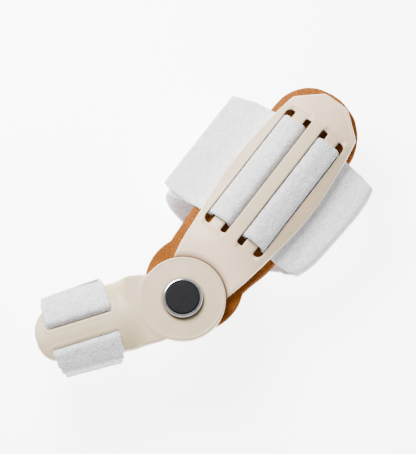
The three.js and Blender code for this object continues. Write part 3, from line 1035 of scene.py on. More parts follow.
    def face(self, x: Array, y: Array, depth: Array | float) -> Array:
        """Height of the plain face at a depth: flat at the hinge and arched where the slots are."""
        round_share = smooth(x, self.sizes.toe_disc, self.slot_start)
        flat = self.sizes.crown - depth
        arched = arch_height(y, depth, self.sizes.foot_arch, self.sizes.crown)
        return flat + (arched - flat) * round_share

    def _seat(self, radius: Array) -> Array:
        """How far the seat of the toe disc lies below the face."""
        start = self.sizes.toe_disc + self.seat_play
        t = np.clip(1 - (radius - start) / self.seat_slope, 0, 1)
        slope = self.seat_fall * t**1.8
        wall = smooth(radius, start, start - 0.35)
        floor = self.sizes.crown - self.sizes.foot_disc_top + 0.03
        return slope + (floor - slope) * wall

    def _sunk(self, x: Array, y: Array) -> Array:
        """How far the recess of the bars lies below the face."""
        start, stop, end = self.slot_start, self.slot_stop, self.recess_end
        along = smooth(x, start - end, start - 0.4) * (1 - smooth(x, stop + 0.4, stop + end))
        low_in, _, _, high_out = self.lines
        away = np.abs(y)
        across = smooth(away, low_in + 0.1, low_in + 1.6)
        across = across * (1 - smooth(away, high_out - 2.4, high_out + 0.1))
        return self.recess * along * across

    def faces(self, x: Array, y: Array) -> tuple[Array, Array]:
        """The heights of the outer face and of the underside."""
        sizes = self.sizes
        rim, slots = distance_to(self.rim(), x, y), self.slot_distance(x, y)
        _, high_in, low_out, _ = self.lines
        far = self.far_fall * smooth(x, self.slot_stop, self.length)
        lip = self.tip_lip * np.exp(-np.square((rim - 1.0) / 0.4))
        lip = lip * smooth(x, self.slot_stop, self.slot_stop + 4)
        near_bar = (np.abs(y) > high_in - 0.2) & (np.abs(y) < low_out + 0.2)
        slot_fall = rounding(slots, np.where(near_bar, self.bar_round, self.rim_round))
        top = self.face(x, y, 0.0) - far - self._seat(np.hypot(x, y)) - self._sunk(x, y) + lip
        top -= rounding(rim, self.edge_round) + slot_fall
        hinge_side = 1 - smooth(x, sizes.toe_disc + 2.4, self.slot_start)
        tip_side = smooth(x, self.slot_stop, self.slot_stop + self.recess_end)
        full = sizes.foot_depth - sizes.gap
        thick = np.maximum(hinge_side, tip_side)
        depth = sizes.plate_wall + (full - sizes.plate_wall) * thick
        bottom = self.face(x, y, depth) + 0.04
        bottom += rounding(rim, self.under_round) + rounding(slots, self.slot_under_round)
        return np.maximum(top, bottom + 0.2), bottom

    def _yellow(self, x: Array, y: Array) -> Array:
        """How yellow the plastic is: only on the ribs."""
        past_slots = smooth(x, self.slot_stop, self.slot_stop + 3)
        return self.yellowing * smooth(x, 26, 44) * (1 - past_slots)

    def _painted_shade(self, x: Array, y: Array) -> Array:
        """How dark the painted shade is in the groove round the toe disc and at the slots' edges.
        """
        radius = np.hypot(x, y)
        start = self.sizes.toe_disc + self.seat_play
        groove = 0.6 * (1 - smooth(radius, start, start + 1.0))
        groove = groove + 0.3 * (1 - smooth(radius, start + 0.5, start + 2.8))
        at_tip = smooth(x, self.slot_stop - 5, self.slot_stop - 3)
        at_hinge = 1 - smooth(x, self.slot_start + 3, self.slot_start + 5)
        strength = 0.4 + 0.45 * np.maximum(at_tip, at_hinge)
        return np.maximum(groove, strength * (1 - smooth(self.slot_distance(x, y), 0.05, 0.3)))

    def build(self, finish: bpy.types.Material) -> bpy.types.Object:
        """Makes the plate with its hinge disc."""
        x, y, is_slot = self.grid()
        top, bottom = self.faces(x, y)
        shell = plate_shell(x, y, top, bottom, is_slot)
        plate = shell.build("foot_plate_shell", self.place)
        disc = self._disc()
        made = united("foot_plate_moulding", plate, disc)
        tone_plate(made, self.place, self._yellow, self._painted_shade)
        put_on(made, finish)
        return made

    def _disc(self) -> bpy.types.Object:
        """The disc under the toe disc, with the pin's hole and the recess of its head."""
        sizes = self.sizes
        low, high = sizes.foot_disc_bottom, sizes.foot_disc_top
        hole, head = sizes.pin_radius + sizes.gap, sizes.pin_head
        edge = 0.3
        profile = [
            (hole, low + sizes.pin_head_depth),
            (head, low + sizes.pin_head_depth),
            (head, low),
            (sizes.foot_disc - edge, low),
            (sizes.foot_disc, low + edge),
            (sizes.foot_disc, high - edge),
            (sizes.foot_disc - edge, high),
            (hole, high),
        ]
        return lathe_shell(profile, 160, True).build("foot_disc", self.place)


def tone_plate(
    plate: bpy.types.Object,
    place: Place,
    yellow: Height,
    painted_shade: Height,
) -> None:
    """Gives a plate the numbers that its finish reads at each corner.

    Args:
        plate: The plate.
        place: Where its splint's frame lies.
        yellow: How yellow the plastic is at a place of the splint.
        painted_shade: How much painted shade darkens that place.
    """
    mesh = plate.data
    points = np.zeros(len(mesh.vertices) * 3)
    mesh.vertices.foreach_get("co", points)
    points = (points.reshape(-1, 3) - np.array([place.x, place.y, 0])) / MILLIMETRE
    cos, sin = math.cos(place.angle), math.sin(place.angle)
    x = points[:, 0] * cos + points[:, 1] * sin
    y = points[:, 1] * cos - points[:, 0] * sin
    normals = np.zeros(len(mesh.vertices) * 3)
    mesh.vertices.foreach_get("normal", normals)
    lean = 1 - np.abs(normals.reshape(-1, 3)[:, 2])
    tones = {
        "reach": yellow(x, y),
        # Painted highlight on the rounded edges, from how far the face leans.
        "edge": smooth(lean, 0.12, 0.5) * (1 - smooth(lean, 0.75, 1.0)),
        # Painted shade in the grooves, at the slots' edges and round the knob.
        "painted_shade": painted_shade(x, y),
    }
    for name, values in tones.items():
        layer = mesh.attributes.get(name) or mesh.attributes.new(name, "FLOAT", "POINT")
        layer.data.foreach_set("value", values.astype(np.float32))


@dataclass
class ToePlate:
    """The short moulded plate with two slots, a middle bar and the round disc of the hinge.

    Each of rows_before says where a stretch of the mesh's rows starts and how far apart they are.
    The plate's face steps down outside disc_edge, and further in it runs just under the disc's top.
    """

    sizes: Sizes
    place: Place
    length: float = 64.3
    half_width: float = 15.6
    shift: float = 0.2
    bar: float = 8.6
    slot_start: float = 29.85
    slot_stop: float = 58.65
    corner: float = 0.84
    step_depth: float = 0.4
    hollow: float = 0.35
    ridge: float = 0.22
    edge_round: float = 0.9
    slot_round: float = 0.5
    under_round: float = 0.4
    slot_under_round: float = 0.3
    disc_edge: float = 17.9
    disc_bevel: float = 0.5
    disc_ridge: float = 0.16
    straight_from: float = 28.0
    round_to: float = 20.5
    outer_span: float = 8.0
    knob_edge: float = 8.7
    rows_before: tuple[tuple[float, float], ...] = (
        (15.6, 0.5),
        (17.6, 0.2),
        (21.0, 0.45),
        (28.6, 0.3),
    )
    outline: tuple[tuple[float, float, float], ...] = (
        (0.1, 0.92, 0.9),
        (0.15, 0.92, 0.92),
        (0.2, 0.935, 0.98),
        (0.28, 0.93, 1.06),
        (0.42, 0.89, 1.12),
        (0.55, 0.84, 1.11),
        (0.7, 0.76, 1.07),
        (0.84, 0.7, 0.99),
        (0.907, 0.6, 0.86),
        (0.96, 0.45, 0.64),
        (0.99, 0.24, 0.4),
        (1.0, 0.08, 0.23),
    )

    def _outline(self) -> Array:
        """The outline's places with the widths on the left and on the right."""
        return smooth_line(self.outline) * np.array([self.length, self.half_width, self.half_width])

    def width_at(self, x: Array, side: int) -> Array:
        """The plate's width at x on the left, side 1, or on the right, side -1."""
        line = self._outline()
        plain = np.interp(x, line[:, 0], line[:, 1 if side > 0 else 2])
        disc = np.sqrt(np.maximum(self.sizes.toe_disc**2 - x**2, 0)) - 0.15
        blend = np.clip(0.5 + (disc - plain) / 2.4, 0, 1)
        fillet = plain + (disc - plain) * blend + 0.6 * blend * (1 - blend)
        return np.where(x < self.sizes.toe_disc, fillet, plain)

    def rim(self) -> Array:
        """The plate's edge as one line round its far end."""
        x = np.concatenate([np.linspace(8, 58, 80), self._outline()[:, 0]])
        x = np.unique(x[x >= 8])
        left = np.stack([x, self.width_at(x, 1)], -1)
        right = np.stack([x, -self.width_at(x, -1)], -1)
        return np.concatenate([left, right[::-1]])

    @property
    def lines(self) -> tuple[float, float]:
        """The slot's edges, counted from the middle of the bar."""
        return self.bar / 2, self.bar / 2 + self.sizes.slot_width

    def slot_distance(self, x: Array, y: Array) -> Array:
        """The distance of each place from the nearer slot's edge."""
        span = (self.slot_start, self.slot_stop)
        ring = slot_ring(span, self.lines, (self.corner, self.corner), 5)
        return distance_to(ring, x, np.abs(y - self.shift))

    def _side(self, stations: Array, side: int) -> tuple[Array, Array, Array]:
        """One side of the grid.

        Args:
            stations: The rows' places on the middle line.
            side: 1 for the left side, -1 for the right side.

        Returns:
            The places of its columns from the middle outwards, and the span of each column.
        """
        low, high = self.lines
        spans, shares = column_shares([low, high - low, self.outer_span], 0.5)
        into = np.minimum(stations - self.slot_start, self.slot_stop - stations)
        inset = corner_inset(into, self.corner, 1.5)
        held = np.clip(stations, self.slot_start, self.slot_stop)
        x = np.repeat(stations[:, None], len(spans), 1)
        y = np.zeros_like(x)
        for _ in range(6):
            edge = self.width_at(x, side) - side * self.shift
            fixed = (self.width_at(held, side) - side * self.shift)[:, None]
            shrink = np.where((stations == held)[:, None], 1.0, edge / fixed)
            inner = (low + inset)[:, None] * shrink
            outer = (high - inset)[:, None] * shrink
            anchors = [0 * edge, inner, outer, edge]
            for k in range(3):
                mine = spans == k
                y[:, mine] = (anchors[k] + (anchors[k + 1] - anchors[k]) * shares)[:, mine]
            across = y + side * self.shift
            x = arc_row(stations[:, None], across, self.straight_from, self.round_to)
        return x, side * y + self.shift, spans

    def grid(self) -> tuple[Array, Array, Array]:
        """The places of the plate's grid, and which cells are slots."""
        start, stop, corner = self.slot_start, self.slot_stop, self.corner
        bend = 1 - np.cos(np.linspace(0, math.pi / 2, 5))
        stations = np.concatenate(
            [
                graded(*self.rows_before, end=start)[:-1],
                start + corner * bend,
                graded((start + corner, 0.7), end=stop - corner)[1:-1],
                stop - corner * bend[::-1],
                graded((stop, 0.3), (self.length - 1.2, 0.15), end=self.length)[1:],
            ],
        )
        left_x, left_y, spans = self._side(stations, 1)
        right_x, right_y, _ = self._side(stations, -1)
        x = np.concatenate([right_x[:, :0:-1], left_x], 1)
        y = np.concatenate([right_y[:, :0:-1], left_y], 1)
        middle = (x[:-1, :-1] + x[1:, 1:]) / 2
        cell_span = np.concatenate([spans[:0:-1], spans[1:]])
        is_slot = (cell_span == 1)[None, :] & (middle > start) & (middle < stop)
        return x, y, is_slot

    def face(self, x: Array, y: Array, depth: Array | float) -> Array:
        """Height of the plain face at a depth: flat at the disc and arched where the slots are."""
        share = smooth(x, self.sizes.toe_disc, self.slot_start - self.sizes.slot_width)
        flat = self.sizes.toe_disc_top - depth
        arched = arch_height(y - self.shift, depth, self.sizes.toe_arch, self.sizes.toe_disc_top)
        return flat + (arched - flat) * share

    def faces(self, x: Array, y: Array) -> tuple[Array, Array]:
        """The heights of the outer face and of the underside."""
        sizes, start = self.sizes, self.slot_start
        radius = np.hypot(x, y)
        rim, slots = distance_to(self.rim(), x, y), self.slot_distance(x, y)
        half_bar = self.bar / 2
        on_bar = 1 - smooth(np.abs(y - self.shift), half_bar + 0.2, half_bar + 1.2)
        ridge = self.ridge * np.exp(-np.square((slots - 0.95) / 0.45)) * np.maximum(on_bar, 0.25)
        step = self.step_depth * smooth(radius, self.disc_edge, self.disc_edge + 2.3)
        step = step * (1 - smooth(x, 23.0, start) * 0.6)
        hollow = self.hollow * smooth(x, 20.5, 24.0) * (1 - smooth(x, 24.5, start - 0.5))
        lip = 0.04 - 0.3 * (1 - smooth(radius, 15.7, 17.1))
        top = self.face(x, y, 0.0) + lip - step - hollow + ridge
        fall = np.where(radius > self.disc_edge, rounding(rim, self.edge_round), 0)
        top -= fall + rounding(slots, self.slot_round)
        share = smooth(x, sizes.toe_disc, start - sizes.slot_width)
        wall = sizes.toe_disc_wall + (sizes.plate_wall - sizes.toe_disc_wall) * share
        bottom = self.face(x, y, wall) + rounding(rim, self.under_round)
        bottom = bottom + rounding(slots, self.slot_under_round) + 0.03
        return np.maximum(top, bottom + 0.3), bottom

    def _yellow(self, x: Array, y: Array) -> Array:
        """How yellow the plastic is: nearly everywhere, and a little more away from the disc."""
        return 0.75 + 0.25 * smooth(x, 14, 40)

    def _painted_shade(self, x: Array, y: Array) -> Array:
        """How dark the painted shadow is round the knob."""
        return (1 - smooth(np.hypot(x, y), self.knob_edge, self.knob_edge + 1.0)) * 0.85

    def _disc(self) -> bpy.types.Object:
        """The round disc on top, with a thin raised edge on the side away from the toe."""
        sizes = self.sizes
        low, high = sizes.toe_disc_bottom, sizes.toe_disc_top
        hole, outer, bevel = sizes.pin_radius + sizes.gap, sizes.toe_disc, self.disc_bevel
        band = outer - 1.3
        radii = np.concatenate(
            [
                np.linspace(hole, 8.2, 5),
                np.linspace(8.6, 9.4, 7),
                np.linspace(10, band, 8),
                np.linspace(band, outer - bevel, 9)[1:],
            ],
        )
        corner = arc((outer - bevel, high - bevel), bevel, 90, 0, 6)[1:]
        profile = [
            (hole, low),
            (outer - 0.3, low),
            (outer, low + 0.3),
            *[tuple(p) for p in corner[::-1]],
            *((r, high) for r in radii[::-1]),
        ]
        shell = lathe_shell(profile, 192, True)
        x, y, z = shell.points.T
        radius = np.hypot(x, y)
        away = smooth(-x / np.maximum(radius, 1e-6), -0.72, -0.5)
        rise = self.disc_ridge * np.exp(-np.square((radius - outer + 0.75) / 0.32)) * away
        shell.points[:, 2] = z + rise * (z > high - 0.6)
        return shell.build("toe_disc", self.place)

    def build(self, finish: bpy.types.Material) -> bpy.types.Object:
        """Makes the plate with its hinge disc."""
        x, y, is_slot = self.grid()
        top, bottom = self.faces(x, y)
        plate = plate_shell(x, y, top, bottom, is_slot).build("toe_plate_shell", self.place)
        made = united("toe_plate_moulding", plate, self._disc())
        tone_plate(made, self.place, self._yellow, self._painted_shade)
        put_on(made, finish)
        return made


@dataclass
class FootPad:
    """The foam pad under the foot plate."""

    sizes: Sizes
    place: Place
    half_width: float = 21.5
    shift: float = 1.2
    far_edge: float = 114.0
    head_radius: float = 21.2
    head_centre: float = 9.6
    edge_round: float = 1.1
    rise_and_fall: float = 0.1
    lump_size: float = 14.0
    outline: tuple[tuple[float, float, float], ...] = (
        (0.215, 0.94, 0.94),
        (0.286, 1.0, 1.0),
        (0.5, 1.0, 1.0),
        (0.72, 1.0, 1.0),
        (0.823, 1.0, 0.987),
        (0.868, 0.988, 0.95),
        (0.909, 0.935, 0.86),
        (0.953, 0.77, 0.67),
        (0.98, 0.575, 0.46),
        (0.994, 0.36, 0.23),
        (1.0, 0.13, 0.08),
    )

    def _outline(self) -> Array:
        """The outline's places with the widths on the left and on the right, round head first."""
        angles = np.radians(np.linspace(178, 66, 40))
        head_half = self.head_radius * np.sin(angles)
        head_x = self.head_centre + self.head_radius * np.cos(angles)
        scale = np.array([self.far_edge, self.half_width, self.half_width])
        body = smooth_line(self.outline) * scale
        line = np.concatenate([np.stack([head_x, head_half, head_half], -1), body])
        return line + np.array([0, self.shift, -self.shift])

    def build(self, finish: bpy.types.Material, plate: FootPlate) -> bpy.types.Object:
        """Makes the pad, which follows the plate's arch.

        Args:
            finish: Its material.
            plate: The plate that it lies under.

        Returns:
            The pad.
        """
        line = self._outline()
        first, last = line[0, 0], line[-1, 0]
        head_rows = [(first, 0.12), (first + 1.2, 0.5)]
        stations = graded(*head_rows, (30.0, 1.1), (96.0, 0.5), (last - 1.4, 0.14), end=last)
        left = np.interp(stations, line[:, 0], line[:, 1])[:, None]
        right = -np.interp(stations, line[:, 0], line[:, 2])[:, None]
        edge = np.array([0, 0.12, 0.3, 0.55, 0.85, 1.2])
        shares = np.linspace(0, 1, 37)[None, 1:-1]
        low_side = np.minimum(edge[None, :] / np.maximum(left - right, 0.5), 0.18)
        high_side = 1 - low_side[:, ::-1]
        inside = low_side[:, -1:] + (high_side[:, :1] - low_side[:, -1:]) * shares
        share = np.concatenate([low_side, inside, high_side], 1)
        y = right + (left - right) * share
        x = np.repeat(stations[:, None], share.shape[1], 1)
        whole = np.concatenate([line[:, :2], line[::-1, ::2] * np.array([1, -1])])
        fall = rounding(distance_to(whole, x, y), self.edge_round)
        depth = self.sizes.foot_depth
        soft = self.rise_and_fall * lumps(x, y, 0 * x, 5, self.lump_size)
        top = plate.face(x, y, depth) - fall + np.minimum(soft, 0)
        bottom = plate.face(x, y, depth + self.sizes.pad_wall) + fall
        none = np.zeros((x.shape[0] - 1, x.shape[1] - 1), bool)
        shell = plate_shell(x, y, top, bottom, none)
        made = shell.build("foot_pad_foam", self.place, SOFT_SHARP)
        put_on(made, finish)
        return made


@dataclass(frozen=True)
class Corner:
    """A corner of a strap's edge line, rounded with a bend.

    The strap's middle lies off its edges by the bow, across the splint, and its outer face rises by
    the puff. Dull says how much painted shade greys it.
    """

    x: float
    y: float
    z: float
    bend: float
    bow: float = 0.0
    puff: float = 0.0
    dull: float = 0.0


def heading(start: Corner, end: Corner) -> float:
    """The direction from one corner to the next across the splint."""
    return math.atan2(end.z - start.z, end.y - start.y)


def rounded_line(corners: Sequence[Corner], steps: int) -> Array:
    """The points of an edge line with its corners rounded.

    Args:
        corners: The corners in order.
        steps: How many steps each rounded corner has.

    Returns:
        Rows of x, y, z, the normal's y and z, the bow, the puff and the painted shade.
    """
    line = []
    for k, corner in enumerate(corners):
        before = corners[k - 1] if k else None
        after = corners[k + 1] if k + 1 < len(corners) else None
        into = heading(before, corner) if before else heading(corner, after)
        onward = heading(corner, after) if after else into
        turn = math.atan2(math.sin(onward - into), math.cos(onward - into))
        side = math.copysign(1, turn)
        reach = corner.bend * math.tan(abs(turn) / 2)
        start_y = corner.y - reach * math.cos(into)
        start_z = corner.z - reach * math.sin(into)
        centre_y = start_y - side * corner.bend * math.sin(into)
        centre_z = start_z + side * corner.bend * math.cos(into)
        count = steps if before and after else 0
        for s in range(count + 1):
            way = into + turn * s / steps
            line.append(
                (
                    corner.x,
                    centre_y + side * corner.bend * math.sin(way),
                    centre_z - side * corner.bend * math.cos(way),
                    -math.sin(way),
                    math.cos(way),
                    corner.bow,
                    corner.puff,
                    corner.dull,
                ),
            )
    return np.array(line)


def filled(near: Array, far: Array, step: float) -> tuple[Array, Array]:
    """Two matching edge lines with points added, so that no stretch is longer than the step."""
    pieces_near, pieces_far = [near[:1]], [far[:1]]
    for k in range(len(near) - 1):
        length = max(np.linalg.norm((line[k + 1] - line[k])[1:3]) for line in (near, far))
        count = max(1, math.ceil(length / step))
        t = np.linspace(0, 1, count + 1)[1:, None]
        pieces_near.append(near[k] + (near[k + 1] - near[k]) * t)
        pieces_far.append(far[k] + (far[k + 1] - far[k]) * t)
    return np.concatenate(pieces_near), np.concatenate(pieces_far)


@dataclass
class Nap:
    """The short fibres that stand on a brushed strap, in metres and radians."""

    seed: int
    density: float = 3.0e6
    length: float = 0.00055
    thickness: float = 0.00007
    lowest: float = 0.0012
    lean: float = 1.15
    whirl: float = 6.283
    shortest: float = 0.5
    longest: float = 1.25

    def tree(self, finish: bpy.types.Material) -> bpy.types.NodeTree:
        """The node tree that scatters the fibres over a mesh.

        Args:
            finish: The material of the fibres.

        Returns:
            The tree, with its sizes as inputs.
        """
        tree = bpy.data.node_groups.new(f"nap_{self.seed}", "GeometryNodeTree")
        face = tree.interface
        face.new_socket("Geometry", in_out="INPUT", socket_type="NodeSocketGeometry")
        for name in ("Density", "Length", "Thickness", "Lowest"):
            face.new_socket(name, in_out="INPUT", socket_type="NodeSocketFloat")
        face.new_socket("Seed", in_out="INPUT", socket_type="NodeSocketInt")
        face.new_socket("Geometry", in_out="OUTPUT", socket_type="NodeSocketGeometry")
        given = tree.nodes.new("NodeGroupInput")
        result = tree.nodes.new("NodeGroupOutput")

        def add(
            kind: str,
            settings: Mapping[str, Any],
            sockets: Mapping[str | int, Any],
        ) -> bpy.types.Node:
            """Adds a node to this tree."""
            return add_node(tree, kind, settings, sockets)

        place = add("GeometryNodeInputPosition", {}, {})
        parts = add("ShaderNodeSeparateXYZ", {}, {0: place.outputs[0]})
        above = add(
            "FunctionNodeCompare",
            {"data_type": "FLOAT", "operation": "GREATER_THAN"},
            {0: parts.outputs["Z"], 1: given.outputs["Lowest"]},
        )
        scatter = add(
            "GeometryNodeDistributePointsOnFaces",
            {"distribute_method": "RANDOM"},
            {
                "Mesh": given.outputs["Geometry"],
                "Selection": above.outputs[0],
                "Density": given.outputs["Density"],
                "Seed": given.outputs["Seed"],
            },
        )
        fibre = add(
            "GeometryNodeMeshCone",
            {"fill_type": "NGON"},
            {
                "Vertices": 3,
                "Side Segments": 1,
                "Radius Top": 0.0,
                "Radius Bottom": given.outputs["Thickness"],
                "Depth": given.outputs["Length"],
            },
        )
        lean = add(
            "FunctionNodeRandomValue",
            {"data_type": "FLOAT_VECTOR"},
            {
                0: (-self.lean, -self.lean, 0.0),
                1: (self.lean, self.lean, self.whirl),
                "Seed": given.outputs["Seed"],
            },
        )
        turned = add(
            "FunctionNodeRotateEuler",
            {"space": "LOCAL"},
            {"Rotation": scatter.outputs["Rotation"], "Rotate By": lean.outputs[0]},
        )
        size = add(
            "FunctionNodeRandomValue",
            {"data_type": "FLOAT"},
            {2: self.shortest, 3: self.longest, "Seed": given.outputs["Seed"]},
        )
        placed = add(
            "GeometryNodeInstanceOnPoints",
            {},
            {
                "Points": scatter.outputs["Points"],
                "Instance": fibre.outputs["Mesh"],
                "Rotation": turned.outputs[0],
                "Scale": size.outputs[1],
            },
        )
        real = add("GeometryNodeRealizeInstances", {}, {0: placed.outputs[0]})
        dressing = {"Geometry": real.outputs[0], "Material": finish}
        dressed = add("GeometryNodeSetMaterial", {}, dressing)
        tree.links.new(dressed.outputs[0], result.inputs[0])
        return tree

    def build(
        self,
        name: str,
        strap: bpy.types.Object,
        finish: bpy.types.Material,
    ) -> bpy.types.Object:
        """Makes the fibres of one strap as a plain mesh.

        Args:
            name: The new piece's name.
            strap: The strap that they stand on.
            finish: Their material.

        Returns:
            The fibres.
        """
        tree = self.tree(finish)
        modifier = strap.modifiers.new("nap", "NODES")
        modifier.node_group = tree
        values = {
            "Density": self.density,
            "Length": self.length,
            "Thickness": self.thickness,
            "Lowest": self.lowest,
            "Seed": self.seed,
        }
        for item in tree.interface.items_tree:
            if item.in_out == "INPUT" and item.name in values:
                modifier[item.identifier] = values[item.name]
        strap.update_tag()
        mesh = evaluated_mesh(strap, name)
        strap.modifiers.remove(modifier)
        return linked(name, mesh)


@dataclass
class Strap:
    """A brushed strap between two edge lines, with rounded edges and a soft uneven face."""

    name: str
    width: float
    wall: float
    place: Place
    seed: int
    step: float = 0.55
    columns: int = 56
    soft_edge: float = 0.85
    unevenness: float = 0.07
    edge_fall: float = 3.5
    lump_size: float = 5.5
    crease_size: float = 1.9
    length_column: int = 28

    def shell(self, near: Sequence[Corner], far: Sequence[Corner]) -> Shell:
        """The strap as a closed band.

        Args:
            near: The corners of the edge near the hinge.
            far: The corners of the edge far from it.

        Returns:
            The band.
        """
        near_line, far_line = filled(rounded_line(near, 7), rounded_line(far, 7), self.step)
        edge = np.array([0, 0.08, 0.22, 0.42, 0.65, 0.9]) / self.width
        middle = np.linspace(edge[-1], 1 - edge[-1], self.columns)[1:-1]
        share = np.concatenate([edge, middle, 1 - edge[::-1]])
        grid = near_line[:, None] + (far_line - near_line)[:, None] * share[None, :, None]
        full = 1 - np.abs(2 * share - 1) ** 4
        x, y, z = grid[..., 0], grid[..., 1] + grid[..., 5] * full, grid[..., 2].copy()
        length = np.hypot(grid[..., 3], grid[..., 4])
        ny, nz = grid[..., 3] / length, grid[..., 4] / length
        steps = np.linalg.norm(np.diff(grid[:, self.length_column, 1:3], axis=0), axis=1)
        along = np.concatenate([[0], np.cumsum(steps)])
        from_edge = np.minimum(share, 1 - share)[None, :] * self.width
        from_end = np.minimum(along, along[-1] - along)
        inside = np.minimum(from_edge, from_end[:, None])
        half = self.wall / 2
        fall = np.clip(1 - inside / self.soft_edge, 0, 1)
        thick = half * np.sqrt(np.maximum(1 - fall**2, 0))
        over = self.unevenness * lumps(x, y, z, self.seed, self.lump_size)
        over += self.unevenness * 0.5 * lumps(x, y, z, self.seed + 2, self.crease_size, 24)
        under = self.unevenness * lumps(x, y, z, self.seed + 1, self.lump_size)
        puff = grid[..., 6] * np.clip(from_edge / self.edge_fall, 0, 1) ** 0.5
        outer = thick * (1 + over / half) + puff
        inner = thick * (1 + under / half)
        top = np.stack([x, y + ny * outer, np.maximum(z + nz * outer, 0)], -1)
        low = np.stack([x, y - ny * inner, np.maximum(z - nz * inner, 0)], -1)
        points = np.concatenate([top.reshape(-1, 3), low.reshape(-1, 3)])
        rim = 1 - smooth(inside, 0.15, 0.8)
        # The painted shade of each corner, carried as the dull tone.
        dull = grid[..., 7].reshape(-1)
        tones = {
            "rim": np.concatenate([rim.reshape(-1), np.maximum(rim, 0.5).reshape(-1)]),
            "dull": np.concatenate([dull, dull]),
        }
        return Shell(points, self._faces(len(near_line), share.size), tones)

    @staticmethod
    def _faces(rows: int, columns: int) -> list[tuple[int, ...]]:
        """The faces of a band whose two sides share their outermost corners."""
        layer = rows * columns
        over = np.arange(layer).reshape(rows, columns)
        under = over + layer
        under[:, [0, -1]] = over[:, [0, -1]]
        under[[0, -1]] = over[[0, -1]]
        faces: list[tuple[int, ...]] = []
        for i in range(rows - 1):
            for j in range(columns - 1):
                a, b, c, d = (i, j), (i + 1, j), (i + 1, j + 1), (i, j + 1)
                faces.append(tuple(int(over[k]) for k in (a, d, c, b)))
                faces.append(tuple(int(under[k]) for k in (a, b, c, d)))
        return faces

    def build(
        self,
        near: Sequence[Corner],
        far: Sequence[Corner],
        finish: bpy.types.Material,
    ) -> bpy.types.Object:
        """Makes the strap from the corners of its two edges."""
        made = self.shell(near, far).build(self.name, self.place, STRAP_SHARP)
        put_on(made, finish)
        return made


@dataclass(frozen=True)
class SideRow:
    """A corner of the foot strap beside the pad, as shares of its reach, height and width.

    The far edge reaches out further by the spread. A layer of 1 lies one strap below the other.
    """

    out: float
    up: float
    near: float
    far: float
    bend: float
    spread: float = 0.0
    bow: float = 0.0
    layer: int = 0


